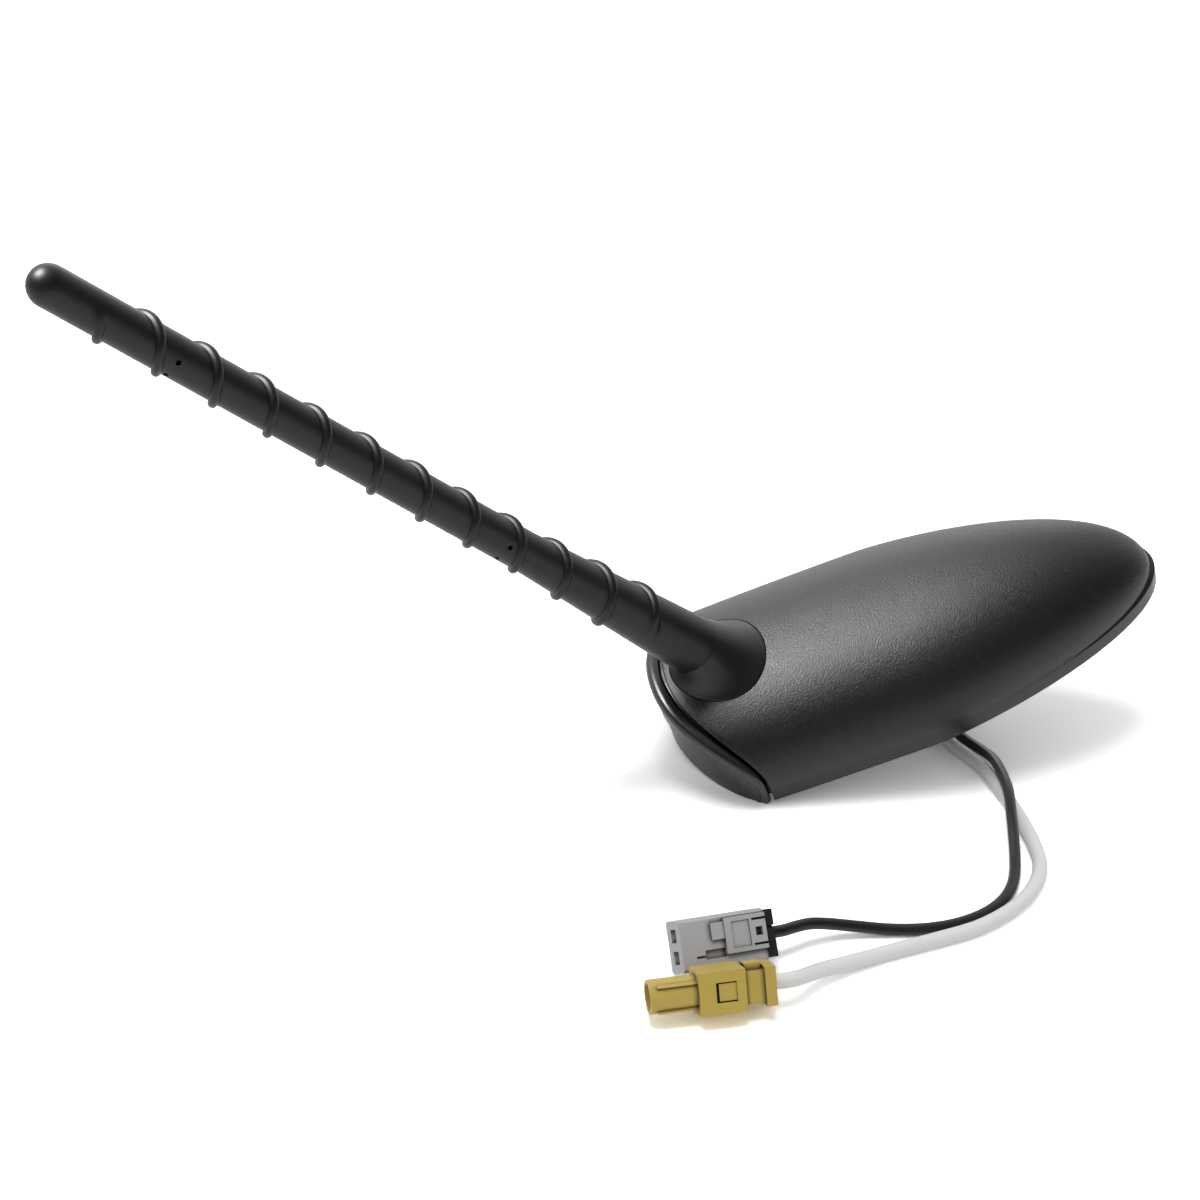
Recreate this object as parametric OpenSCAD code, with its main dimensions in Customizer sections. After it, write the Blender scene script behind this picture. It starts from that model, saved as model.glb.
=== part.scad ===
// Roof antenna of a car: a shell on a sealed base, a screwed-on mast with a spiral rib,
// a hollow threaded stud through the roof, and two leads with their plugs.
// The origin is on the stud's axis in the plane of the roof skin. +X points to the nose,
// +Z away from the roof. The base leans on a bench, which carries the leads and the plugs.

/* [Base outline] */
// Width of the base at its widest station
base_w = 58.2; // [52:0.2:66]
// Distance from the stud's axis to the nose
nose_l = 61.5; // [56:0.5:68]
// Distance from the stud's axis to the tail
tail_l = 63.8; // [60:0.2:68]
// Depth of the curved tail, from its corners to its middle
tail_depth = 17.8; // [15:0.2:20]
// Distance from the stud's axis back to the widest station
widest_back = 5.2; // [0:0.2:10]
// How much each side closes in between the widest station and the corners
rear_taper = 0.43; // [0:0.01:1.5]

/* [Cover] */
// Height of the cover's crest over the roof
dome_h = 24.1; // [22:0.1:28]
// Height of the plain skirt below the grained dome
skirt_h = 4.6; // [3.5:0.1:6]
// How far the roof line falls between the crest and the corners
rear_fall = 0.6; // [0:0.05:1.5]
// Ledge between the skirt and the dome at the nose
nose_ledge = 1.1; // [0.6:0.1:2]
// Ledge between the skirt and the dome along the sides
side_ledge = 0.35; // [0.2:0.05:0.8]
// Wall of the cover
cover_t = 2.2; // [1.8:0.1:2.8]
// Distance from the stud's axis to the cover's rear edge, on the centre line
edge_l = 60.4; // [58:0.1:61.5]
// Depth of the curve of the cover's rear edge
edge_depth = 14.8; // [13:0.1:16]
// Radius of a screw boss inside the cover
boss_r = 2.8; // [2.4:0.1:3.4]

/* [Under-body] */
// Open joint between the cover's rear edge and the rounded bead
edge_gap = 0.7; // [0.3:0.1:1.2]
// How far the bead stands out from the rear wall
bead_out = 1.5; // [0.8:0.1:2.2]
// Height of the plain rear wall below the bead, on the centre line
wall_h = 10.6; // [8:0.1:13]
// Half width of the plain rear wall
wall_half = 27.2; // [25:0.1:28]
// Thickness of the tail's wall
tail_t = 4.2; // [3.6:0.1:5]
// Thickness of the floor
floor_t = 2.4; // [2:0.1:3.2]
// Height of the rim that locates the cover
rim_h = 2; // [1.2:0.1:2.2]
// Thickness of that rim
rim_t = 1.6; // [1.2:0.1:2.2]
// Play between parts that are pushed into each other
fit = 0.2; // [0.1:0.05:0.3]

/* [Roof seal and stud] */
// Thickness of the rubber roof seal
seal_t = 1.8; // [1.2:0.1:2.4]
// Distance from the edge of the base to the edge of the seal
seal_inset = 3.2; // [2.8:0.1:5]
// Outer radius of the threaded stud
stud_r = 8; // [7:0.1:9]
// Bore radius of the stud
stud_bore_r = 5.75; // [5.4:0.05:6.4]
// Length of the stud below the roof plane
stud_l = 22.7; // [20:0.1:26]
// Radius of the stud's plain end and of the relief next to the seal
stud_neck_r = 7.4; // [6.8:0.1:7.6]
// Length of the stud's plain end, below the thread
stud_end_l = 6.2; // [5:0.1:8]
// Width of the slot that lets the leads out sideways
slot_w = 7.5; // [6:0.5:9]
// Length of that slot from the stud's end
slot_l = 5.7; // [4:0.1:6]
// Radius of the stud's flange
flange_r = 11; // [10:0.5:13]
// Thickness of the stud's flange
flange_t = 2; // [1.5:0.1:3]
// Thickness of the die-cast plate
plate_t = 2.5; // [2:0.1:3.2]
// Width of the die-cast plate
plate_w = 29; // [26:0.5:30]
// How far the grommet's lower face lies below the roof plane
grommet_l = 13.5; // [12:0.5:16]

/* [Electronics] */
// Width of the circuit board
board_w = 26; // [22:0.5:27]
// Distance from the stud's axis to the board's front edge
board_front = 26; // [25:0.5:28]
// Distance from the point where the mast's axis meets the roof plane to the board's rear edge
board_in = 8; // [7:0.5:10]
// Thickness of the circuit board
board_t = 1.6; // [1:0.1:2]
// Height of the pillars that carry the board
pillar_h = 3; // [2.4:0.1:4]
// Side of the square ceramic patch
patch_w = 18; // [15:0.5:18.5]
// Height of the ceramic patch
patch_h = 4; // [3:0.1:5]
// Distance from the board's rear edge to the shield can
can_in = 7.5; // [6.5:0.5:9]
// Height of the shield can
can_h = 4.5; // [3.5:0.1:5.5]

/* [Mast collar] */
// Distance from the cover's rear edge forward to the point where the mast's axis meets the roof plane
mast_in = 26.4; // [25:0.1:29]
// Angle between the mast and the roof
mast_angle = 60.1; // [56:0.1:66]
// Distance along the mast's axis from the roof plane to the joint under the mast
seam_s = 35.3; // [34:0.1:38]
// Half length of the oval opening, along the base
oval_a = 10.65; // [10.2:0.05:11.2]
// Half width of the oval opening, across the base
oval_b = 12.8; // [12:0.1:13.6]
// How far the oval's centre lies in front of the mast's axis
oval_shift = 0.35; // [0:0.05:0.8]
// Dark joint between the collar and the cover
collar_gap = 0.25; // [0.15:0.05:0.5]
// Distance along the mast's axis from the roof plane to the collar's lower end
collar_s = 14; // [13:0.2:15]
// Radius of the brass threaded insert
insert_r = 4.5; // [4.1:0.1:5]
// Height of the insert's lower end above the collar's
insert_up = 2; // [1:0.1:3]

/* [Mast] */
// Radius of the mast at its foot
mast_foot_r = 7.15; // [6.6:0.05:8]
// Radius of the rod above the cone
rod_foot_r = 4.7; // [4.4:0.05:5.2]
// Radius of the rod at the tip
rod_tip_r = 4.375; // [4:0.025:4.7]
// Length of the cone at the foot
cone_l = 55.5; // [45:0.5:65]
// Length of the mast from the joint to the centre of its round tip
mast_l = 181.5; // [150:0.5:210]
// Height of the spiral rib over the rod
rib_h = 1.05; // [0.6:0.05:1.4]
// Width of the spiral rib at its foot
rib_w = 3; // [2.4:0.1:3.6]
// Rise of the spiral rib in one turn
rib_pitch = 13.94; // [10:0.02:18]
// Distance from the rib's upper end to the centre of the tip
rib_top = 9.5; // [6:0.5:14]
// Direction of the rib's upper end around the mast, in degrees
rib_turn = -47.1; // [-180:0.1:180]
// Steps of the rib, each of 15 degrees
rib_steps = 267; // [120:1:270]
// Radius of the threaded spigot
spigot_r = 2.5; // [2:0.1:3]
// Length of the threaded spigot
spigot_l = 13; // [10:0.5:15]
// Radius of the metal ferrule inside the mast's foot
ferrule_r = 4.2; // [3.6:0.1:4.6]
// Length of the ferrule
ferrule_l = 15; // [12:0.5:18]
// Radius of the glass-fibre core
core_r = 2; // [1.6:0.1:2.4]
// Depth of the core in the ferrule
core_in = 8; // [5:0.5:10]
// Thickness of the copper winding
wind_t = 0.35; // [0.2:0.05:0.6]

/* [Leads] */
// Radius of the black lead
black_r = 1.3; // [1.2:0.05:1.6]
// Radius of the white lead
white_r = 1.7; // [1.5:0.05:1.9]
// Distance of each lead from the middle of the grommet, along the base
lead_side = 1.85; // [1.7:0.05:2]
// Distance of both leads from the middle of the grommet, across the base
lead_up = 2.6; // [2.2:0.1:2.8]

/* [Grey connector] */
// Length of the grey housing
grey_l = 19.6; // [18:0.1:22]
// Height of the grey housing
grey_h = 11.15; // [10:0.05:12]
// Thickness of the grey housing
grey_w = 7; // [6.4:0.1:7.6]
// Thickness of the black clamp plate behind the housing
clamp_t = 2; // [1.4:0.1:2.6]
// How far the retainer stands out of the housing
retainer_out = 0.8; // [0.4:0.1:1.2]
// Side of a contact chamber
chamber = 2.8; // [2.4:0.1:3]

/* [Yellow plug] */
// Length of the round nose
nose_tube_l = 10; // [8:0.1:12]
// Radius of the round nose
nose_tube_r = 3.6; // [3.3:0.05:4]
// Bore radius of the round nose
nose_bore_r = 2.9; // [2.6:0.05:3.1]
// Length of the square body
plug_body_l = 10; // [9:0.1:12]
// Width and height of the square body
plug_body_w = 8.85; // [8.2:0.05:9.4]
// Length of the neck behind the body
plug_neck_l = 4.2; // [3:0.1:5]
// Width of the neck
plug_neck_w = 6.8; // [6:0.1:7.6]
// Thickness of the end flange
plug_flange_t = 2.3; // [1.6:0.1:3]

/* [Hidden] */
$fn = 64;

// Powers of the curves: the nose in plan, the roof line, the cross-section and the tail
nose_power = 1.43;
roof_power = 2.53;
section_power = 2.16;
tail_power = 1.5;
edge_power = 2.2;
// Distance from the stud's axis back to the crest of the roof line
crest_back = 4;
// Steps of the lofts: along the cover, over its section and around the tail
long_steps = 22;
section_steps = 20;
tail_steps = 20;
tip = 0.02;
corner_x = tail_depth - tail_l;
widest_x = -widest_back;
crest_x = -crest_back;

// Levels of the stack in the base
floor_z = seal_t + floor_t;
plate_top = floor_z + plate_t;
board_z = plate_top + pillar_h;
board_top = board_z + board_t;

// Distance from the stud's axis back to the mast's axis in the roof plane
foot_back = edge_l - mast_in;
board_back = foot_back - board_in;

// Places of the screws in plan: those of the cover from its nose, its corners and its sides,
// those of the board from the board's edges
screw_nose = 29.5;
screw_corner = 22;
screw_side = 9.3;
pillar_in = 4;
screw_r = 1.4;
screw_head_r = 2.7;
screw_head_t = 1.5;
base_screw_l = 12;
board_screw_r = 1.1;
board_head_r = 2.1;
board_head_t = 1.2;
pillar_r = 2.6;

// Half width of the outline at x, with its edge moved in by t
function half_w(x, t = 0, tx = 0) =
    x >= widest_x
        ? (base_w / 2 - t) * sqrt(max(0, 1 - pow((x - widest_x) / (nose_l - widest_x - t - tx), nose_power)))
        : base_w / 2 - t - rear_taper * pow((widest_x - x) / (widest_x - corner_x), 2);
function side_screw(x) = [x, half_w(x) - screw_side];
front_screw = side_screw(nose_l - screw_nose);
rear_screw = side_screw(corner_x + screw_corner);
base_screws = [for (p = [front_screw, rear_screw]) for (side = [1, -1]) [p[0], side * p[1]]];
pillar_y = board_w / 2 - pillar_in;
board_screws = [[pillar_in - board_back, pillar_y], [pillar_in - board_back, -pillar_y],
    [board_front - pillar_in, pillar_y]];
// Height of the roof line at x, with the surface moved in by t
function roof_z(x, t = 0, tx = 0) =
    x >= crest_x
        ? skirt_h + (dome_h - t - skirt_h)
            * sqrt(max(0, 1 - pow((x - crest_x) / (nose_l - crest_x - t - tx), roof_power)))
        : dome_h - t - rear_fall * pow((crest_x - x) / (crest_x - corner_x), 2);
function signed_power(v, p) = sign(v) * pow(abs(v), p);
// Unit cross-section of the dome, from the near side (0) over the crest (90) to the far side (180)
function section_y(a) = -signed_power(cos(a), 2 / section_power);
function section_z(a) = pow(sin(a), 2 / section_power);
// The cover's rear edge in plan
function edge_x(y) = -edge_l + edge_depth * pow(min(1, abs(y) / half_w(corner_x)), edge_power);

// Rings of the cover across its section: skirt foot, skirt top, dome, skirt top, skirt foot
skirt_break = 0.3;
ring_angles = [for (i = [0:section_steps]) 180 * i / section_steps];
ring_count = section_steps + 5;
function ring_side(j) = j < 2 ? -1 : 1;
function is_skirt(j) = j < 2 || j > ring_count - 3;
function skirt_z(j) = (j == 0 || j == ring_count - 1) ? 0 : skirt_h - skirt_break;
function ring_rear(j) =
    is_skirt(j) ? edge_x(half_w(corner_x))
                : edge_x(half_w(corner_x) * section_y(ring_angles[j - 2]));
// Point of the cover's surface on ring j, a share s of the way to the nose
function cover_point(s, j, t, back) =
    let (ledge = is_skirt(j) ? 0 : 1,
         front = nose_l - t - ledge * nose_ledge - tip,
         rear = ring_rear(j) - back,
         x = rear + (front - rear) * sin(90 * s),
         w = half_w(x, t + ledge * side_ledge, ledge * (nose_ledge - side_ledge)))
    is_skirt(j)
        ? [x, ring_side(j) * w, skirt_z(j)]
        : [x, w * section_y(ring_angles[j - 2]),
           skirt_h + (roof_z(x, t, ledge * nose_ledge) - skirt_h) * section_z(ring_angles[j - 2])];

// Shell between two insets of the cover's form, open below and behind
module cover_shell(outer, inner, back = 0, low = 0) {
    n = long_steps;
    m = ring_count;
    points = [for (i = [0:n]) for (k = [0:1]) for (j = [0:m - 1])
        let (p = cover_point(i / n, j, k == 0 ? outer : inner, back))
        [p[0], p[1], p[2] == 0 ? -low : p[2]]];
    function at(i, k, j) = (i * 2 + k) * m + j;
    faces = concat(
        [for (i = [0:n - 1]) for (j = [0:m - 2]) each [
            [at(i, 0, j), at(i, 0, j + 1), at(i + 1, 0, j + 1)],
            [at(i, 0, j), at(i + 1, 0, j + 1), at(i + 1, 0, j)],
            [at(i, 1, j), at(i + 1, 1, j), at(i + 1, 1, j + 1)],
            [at(i, 1, j), at(i + 1, 1, j + 1), at(i, 1, j + 1)]]],
        [for (i = [0:n - 1]) each [
            [at(i, 0, 0), at(i + 1, 0, 0), at(i + 1, 1, 0)],
            [at(i, 0, 0), at(i + 1, 1, 0), at(i, 1, 0)],
            [at(i, 0, m - 1), at(i + 1, 1, m - 1), at(i + 1, 0, m - 1)],
            [at(i, 0, m - 1), at(i, 1, m - 1), at(i + 1, 1, m - 1)]]],
        [for (j = [0:m - 2]) each [
            [at(0, 0, j), at(0, 1, j), at(0, 1, j + 1)],
            [at(0, 0, j), at(0, 1, j + 1), at(0, 0, j + 1)]]],
        [for (j = [0:(m - 5) / 2]) each [
            [at(n, 0, j), at(n, 0, j + 1), at(n, 0, m - 1 - j)],
            [at(n, 0, m - 1 - j), at(n, 0, j + 1), at(n, 0, m - 2 - j)],
            [at(n, 1, j), at(n, 1, m - 1 - j), at(n, 1, j + 1)],
            [at(n, 1, m - 1 - j), at(n, 1, m - 2 - j), at(n, 1, j + 1)]]],
        [[at(n, 0, (m - 3) / 2), at(n, 0, (m - 1) / 2), at(n, 0, (m + 1) / 2)],
         [at(n, 1, (m - 3) / 2), at(n, 1, (m + 1) / 2), at(n, 1, (m - 1) / 2)]],
        [[at(n, 0, 0), at(n, 0, m - 1), at(n, 1, 0)],
         [at(n, 0, m - 1), at(n, 1, m - 1), at(n, 1, 0)]]);
    polyhedron(points, faces, convexity = 6);
}

// Closed body of stacked loops, all with the same number of points, from the lowest up
module stack(loops) {
    m = len(loops[0]);
    n = len(loops);
    points = [for (l = loops) each l];
    faces = concat(
        [[for (j = [0:m - 1]) j]],
        [for (i = [0:n - 2]) for (j = [0:m - 1]) let (k = (j + 1) % m) each [
            [i * m + j, (i + 1) * m + k, i * m + k],
            [i * m + j, (i + 1) * m + j, (i + 1) * m + k]]],
        [[for (j = [m - 1:-1:0]) (n - 1) * m + j]]);
    polyhedron(points, faces, convexity = 6);
}

// A moulding whose skin is a mesh, so that its cuts are made in the mesh
module moulded() {
    resize([0, 0, 0]) children();
}

// Outline of the base in plan, with its edge moved in by t
function tail_curve(y_half, depth, x0, n = tail_steps) = [for (i = [0:n])
    let (a = 90 - 180 * i / n)
    [x0 - depth * pow(abs(cos(a)), 2 / tail_power), y_half * signed_power(sin(a), 2 / tail_power)]];
function side_curve(t, n = 18) = [for (i = [0:n])
    let (x = corner_x + (nose_l - t - tip - corner_x) * sin(90 * i / n)) [x, half_w(x, t)]];
function outline(t) = let (side = side_curve(t)) concat(
    [for (p = side) [p[0], -p[1]]],
    [for (i = [len(side) - 1:-1:0]) side[i]],
    [for (i = [1:tail_steps - 1]) tail_curve(half_w(corner_x, t), tail_depth - t, corner_x)[i]]);
module prism(t, z0, z1) {
    translate([0, 0, z0]) linear_extrude(z1 - z0) polygon(outline(t));
}

// Oval tube along the mast's axis, grown by g
module along_mast(s) {
    translate([-foot_back, 0, 0]) rotate([0, mast_angle - 90, 0]) translate([0, 0, s]) children();
}
function oval(g, n = 40) = [for (i = [0:n - 1])
    let (a = 360 * i / n) [oval_shift + (oval_a + g) * cos(a), (oval_b + g) * sin(a)]];
module oval_prism(g, s0, s1) {
    along_mast(s0) linear_extrude(s1 - s0) polygon(oval(g));
}

module place_at(points) {
    for (p = points) translate([p[0], p[1], 0]) children();
}

// Height of the dome over the point x, y of the roof plane
function dome_z(x, y) =
    let (w = half_w(x, side_ledge, nose_ledge - side_ledge))
    skirt_h + (roof_z(x, 0, nose_ledge) - skirt_h)
        * pow(max(0, 1 - pow(min(1, abs(y) / w), section_power)), 1 / section_power);

// Grained shell with four screw bosses and the oval opening for the collar
boss_cover = 0.5;
module cover() {
    color([0.13, 0.13, 0.14]) difference() {
        union() {
            moulded() difference() {
                cover_shell(0, cover_t);
                oval_prism(0, collar_s, seam_s + oval_a);
            }
            for (p = base_screws) translate([p[0], p[1], floor_z])
                cylinder(r = boss_r, h = dome_z(p[0], abs(p[1]) + boss_r) - boss_cover - floor_z);
        }
        place_at(base_screws) translate([0, 0, floor_z - 1])
            cylinder(r = screw_r, h = base_screw_l - floor_t + 1);
    }
}

// Tail of the base: slices from the floor up, each from the cover's edge round the tail
bead_z = 13.5;
bead_over = 0.3;
tail_lap = 3;
tail_levels = concat([[0, 1]], [for (a = [0:9:81]) [section_z(a), section_y(180 - a)]]);
function tail_x(z, top, t) =
    -(edge_l + edge_gap + (tail_l + bead_out - t - edge_l - edge_gap)
        * (z <= bead_z ? 1 : sqrt(max(0, 1 - pow((z - bead_z) / (top - bead_z), 2)))));
function tail_slice(i, t) =
    let (top = roof_z(-edge_l, t),
         level = tail_levels[i],
         z = i == 0 ? 0 : skirt_h + (top - skirt_h) * level[0],
         y = half_w(corner_x, t) * level[1],
         start = edge_x(y + t) - edge_gap,
         back = tail_x(z, top + bead_over, t),
         front = corner_x + tail_lap,
         arc = tail_curve(y, start - back, start))
    [for (p = concat([[front, -y], [front, y]], arc)) [p[0], p[1], z]];
module tail_body(t) {
    stack([for (i = [0:len(tail_levels) - 1]) tail_slice(i, t)]);
}
// Space behind the plain rear wall, under the bead
wall_power = 8;
wall_steps = 32;
module rear_recess() {
    difference() {
        translate([corner_x, 0, 0]) rotate([90, 0, -90]) linear_extrude(tail_l)
            polygon(concat([[-wall_half, -1]], [for (i = [0:wall_steps])
                let (y = -wall_half * cos(180 * i / wall_steps))
                [y, wall_h * sqrt(1 - pow(abs(y) / wall_half, wall_power))]],
                [[wall_half, -1]]));
        translate([0, 0, -2]) linear_extrude(wall_h + 4) polygon(concat(
            [[0, -base_w], [0, base_w], [corner_x, base_w]],
            tail_curve(half_w(corner_x), tail_depth, corner_x), [[corner_x, -base_w]]));
    }
}
// Distance from the edge of the base to the rim, which clears the dome's inner side
rim_inset = cover_t + 2 * fit + nose_ledge;
rim_end = 2.5;
// Tower under the collar, with its bore and the window for the spring contact
tower_r = 9.4;
tower_bore = 6.5;
tower_in = 0.4;
window_w = 8;

// Tray with the beaded tail and the tower that carries the collar
module under_body() {
    color([0.15, 0.15, 0.16]) difference() {
        union() {
            moulded() difference() {
                tail_body(0);
                cover_shell(-3, cover_t + fit, back = edge_gap, low = 1);
                rear_recess();
                intersection() {
                    tail_body(tail_t);
                    translate([0, 0, floor_z + dome_h / 2]) cube([4 * tail_l, base_w, dome_h], center = true);
                }
                oval_prism(collar_gap, collar_s, 2 * seam_s);
            }
            prism(cover_t + 2 * fit, seal_t, floor_z);
            difference() {
                prism(rim_inset, floor_z, floor_z + rim_h);
                prism(rim_inset + rim_t, floor_z, floor_z + rim_h + 1);
                translate([corner_x + rim_end - 2 * tail_l, -base_w, 0])
                    cube([2 * tail_l, 2 * base_w, dome_h]);
            }
            difference() {
                along_mast(0) cylinder(r = tower_r, h = collar_s);
                translate([0, 0, floor_z - tower_in - dome_h])
                    cube([4 * tail_l, base_w, 2 * dome_h], center = true);
                along_mast(-1) cylinder(r = tower_bore, h = collar_s + 2);
                translate([-foot_back, -window_w / 2, floor_z]) cube([foot_back, window_w, dome_h]);
            }
        }
        prism(seal_inset - fit, -1, seal_t);
        cylinder(r = stud_r + fit, h = dome_h);
        place_at(base_screws) {
            cylinder(r = screw_r, h = dome_h);
            cylinder(r = screw_head_r + fit, h = seal_t + screw_head_t);
        }
    }
}

// Where a line parallel to the mast's axis comes out of the dome
function mast_point(u, v, s) = [
    -foot_back + u * sin(mast_angle) - s * cos(mast_angle), v, u * cos(mast_angle) + s * sin(mast_angle)];
function over_dome(u, v, s) = let (p = mast_point(u, v, s)) p[2] - dome_z(p[0], p[1]);
function crease_s(u, v, low = collar_s, high = seam_s + oval_a, n = 18) =
    n == 0 ? (low + high) / 2
           : let (mid = (low + high) / 2)
             over_dome(u, v, mid) > 0 ? crease_s(u, v, low, mid, n - 1) : crease_s(u, v, mid, high, n - 1);

// Smooth collar that blends from the oval opening up to the round foot of the mast
collar_steps = 7;
collar_flare = 0.38;
module mast_collar() {
    rim = oval(-collar_gap);
    crease = [for (p = rim) crease_s(p[0], p[1])];
    color([0.12, 0.12, 0.13]) difference() {
        along_mast(0) stack(concat(
            [[for (p = rim) [p[0], p[1], collar_s]]],
            [for (i = [0:collar_steps]) [for (k = [0:len(rim) - 1])
                let (s = i / collar_steps,
                     share = (1 - collar_flare) * s + collar_flare * (1 - pow(1 - s, 3)),
                     a = 360 * k / len(rim),
                     p = rim[k] * (1 - share) + mast_foot_r * [cos(a), sin(a)] * share)
                [p[0], p[1], crease[k] * (1 - s) + seam_s * s]]]));
        along_mast(collar_s - 1) cylinder(r = insert_r, h = seam_s);
    }
}

// Brass insert that takes the mast's spigot
module threaded_insert() {
    color([0.72, 0.6, 0.32]) along_mast(collar_s + insert_up) difference() {
        cylinder(r = insert_r, h = seam_s - collar_s - insert_up);
        translate([0, 0, seam_s - collar_s - insert_up - spigot_l]) cylinder(r = spigot_r, h = spigot_l + 1);
    }
}

// Rubber seal that lies on the roof
module roof_seal() {
    color([0.1, 0.1, 0.1]) difference() {
        prism(seal_inset, 0, seal_t);
        translate([0, 0, -1]) cylinder(r = stud_r + fit, h = seal_t + 2);
    }
}

// Die-cast plate with the pillars of the circuit board, a little shorter than the board
plate_back = board_back - 1;
plate_front = board_front - 0.5;
plate_corner = 4;
screw_start = floor_z + 1;
module base_plate() {
    color([0.62, 0.63, 0.65]) difference() {
        union() {
            translate([0, 0, floor_z]) linear_extrude(plate_t) difference() {
                translate([-plate_back, -plate_w / 2]) square([plate_back + plate_front, plate_w]);
                for (x = [-plate_back, plate_front]) for (y = [-1, 1])
                    translate([x, y * plate_w / 2]) circle(r = plate_corner);
            }
            place_at(board_screws) translate([0, 0, plate_top]) cylinder(r = pillar_r, h = pillar_h);
        }
        cylinder(r = stud_r, h = dome_h);
        place_at(board_screws) translate([0, 0, screw_start]) cylinder(r = board_screw_r, h = dome_h);
    }
}

// Distance from the roof plane down to the first turn of the thread
relief_below = 0.5;
// Hollow stud with its flange and a relief next to the seal, slotted at its plain end for the leads
module threaded_stud() {
    color([0.7, 0.71, 0.73]) difference() {
        union() {
            translate([0, 0, -stud_l]) cylinder(r = stud_neck_r, h = stud_l + plate_top);
            translate([0, 0, stud_end_l - stud_l]) cylinder(r = stud_r, h = stud_l - stud_end_l - relief_below);
            translate([0, 0, seal_t]) cylinder(r = stud_r, h = plate_top - seal_t);
            translate([0, 0, plate_top]) cylinder(r = flange_r, h = flange_t);
        }
        translate([0, 0, -stud_l - 1]) cylinder(r = stud_bore_r, h = stud_l + plate_top + flange_t + 2);
        translate([-slot_w / 2, -2 * stud_r, -stud_l - 1]) cube([slot_w, 2 * stud_r, slot_l + 1]);
    }
}

// Places of the leads in the grommet
black_at = [lead_side, lead_up];
white_at = [-lead_side, lead_up];

// Rubber grommet that fills the stud's bore around the leads
module cable_grommet() {
    color([0.09, 0.09, 0.09]) translate([0, 0, -grommet_l]) difference() {
        cylinder(r = stud_bore_r, h = grommet_l + plate_top);
        translate([black_at[0], black_at[1], -1]) cylinder(r = black_r, h = 2 * stud_l);
        translate([white_at[0], white_at[1], -1]) cylinder(r = white_r, h = 2 * stud_l);
    }
}
module inner_black_lead() {
    color([0.08, 0.08, 0.08]) translate([black_at[0], black_at[1], -grommet_l])
        cylinder(r = black_r, h = grommet_l + board_z);
}
module inner_white_lead() {
    color([0.85, 0.85, 0.83]) translate([white_at[0], white_at[1], -grommet_l])
        cylinder(r = white_r, h = grommet_l + board_z);
}

module circuit_board() {
    color([0.1, 0.32, 0.2]) difference() {
        translate([-board_back, -board_w / 2, board_z]) cube([board_back + board_front, board_w, board_t]);
        place_at(board_screws) translate([0, 0, board_z - 1]) cylinder(r = board_screw_r, h = board_t + 2);
    }
}

// Folded can over the amplifier, open below, between the rear screws and the patch
can_side = 3;
can_w = board_w - 2 * can_side;
can_t = 0.4;
can_back = board_back - can_in;
can_gap = 2;
patch_in = 7.5;
patch_x = board_front - patch_in - patch_w / 2;
can_l = can_back + patch_x - patch_w / 2 - can_gap;
module shield_can() {
    color([0.75, 0.76, 0.77]) translate([-can_back, -can_w / 2, board_top]) difference() {
        cube([can_l, can_w, can_h]);
        translate([can_t, can_t, -1]) cube([can_l - 2 * can_t, can_w - 2 * can_t, can_h - can_t + 1]);
    }
}

electrode_inset = 1.6;
electrode_t = 0.2;
module ceramic_patch() {
    color([0.8, 0.76, 0.68]) translate([patch_x - patch_w / 2, -patch_w / 2, board_top])
        cube([patch_w, patch_w, patch_h]);
}
module patch_electrode() {
    w = patch_w - 2 * electrode_inset;
    color([0.8, 0.8, 0.78]) translate([patch_x - w / 2, -w / 2, board_top + patch_h]) cube([w, w, electrode_t]);
}

// Bent leaf between the board and the insert's lower end
contact_w = 5;
contact_t = 0.4;
contact_lap = 5;
contact_drop = 6.5;
module mast_contact() {
    end = mast_point(0, 0, collar_s + insert_up);
    low = mast_point(0, 0, collar_s - contact_drop);
    along = [-cos(mast_angle), sin(mast_angle)];
    across = [sin(mast_angle), cos(mast_angle)] * contact_t / 2;
    a = [end[0], end[2]];
    b = [low[0], low[2]];
    color([0.78, 0.62, 0.35]) translate([0, contact_w / 2, 0]) rotate([90, 0, 0]) linear_extrude(contact_w)
        polygon([
            a - across, b - across - [0, contact_t], [-board_back, board_top],
            [-board_back + contact_lap, board_top], [-board_back + contact_lap, board_top + contact_t],
            [-board_back, board_top + contact_t], b + across, a + across]);
}

module board_screw(k) {
    color([0.6, 0.6, 0.62]) place_at([board_screws[k]]) {
        translate([0, 0, screw_start]) cylinder(r = board_screw_r, h = board_top - screw_start);
        translate([0, 0, board_top]) cylinder(r = board_head_r, h = board_head_t);
    }
}
module base_screw(k) {
    color([0.6, 0.6, 0.62]) place_at([base_screws[k]]) {
        translate([0, 0, seal_t]) cylinder(r = screw_head_r, h = screw_head_t);
        translate([0, 0, seal_t]) cylinder(r = screw_r, h = base_screw_l);
    }
}
module board_screw_1() { board_screw(0); }
module board_screw_2() { board_screw(1); }
module board_screw_3() { board_screw(2); }
module base_screw_1() { base_screw(0); }
module base_screw_2() { base_screw(1); }
module base_screw_3() { base_screw(2); }
module base_screw_4() { base_screw(3); }

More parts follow.
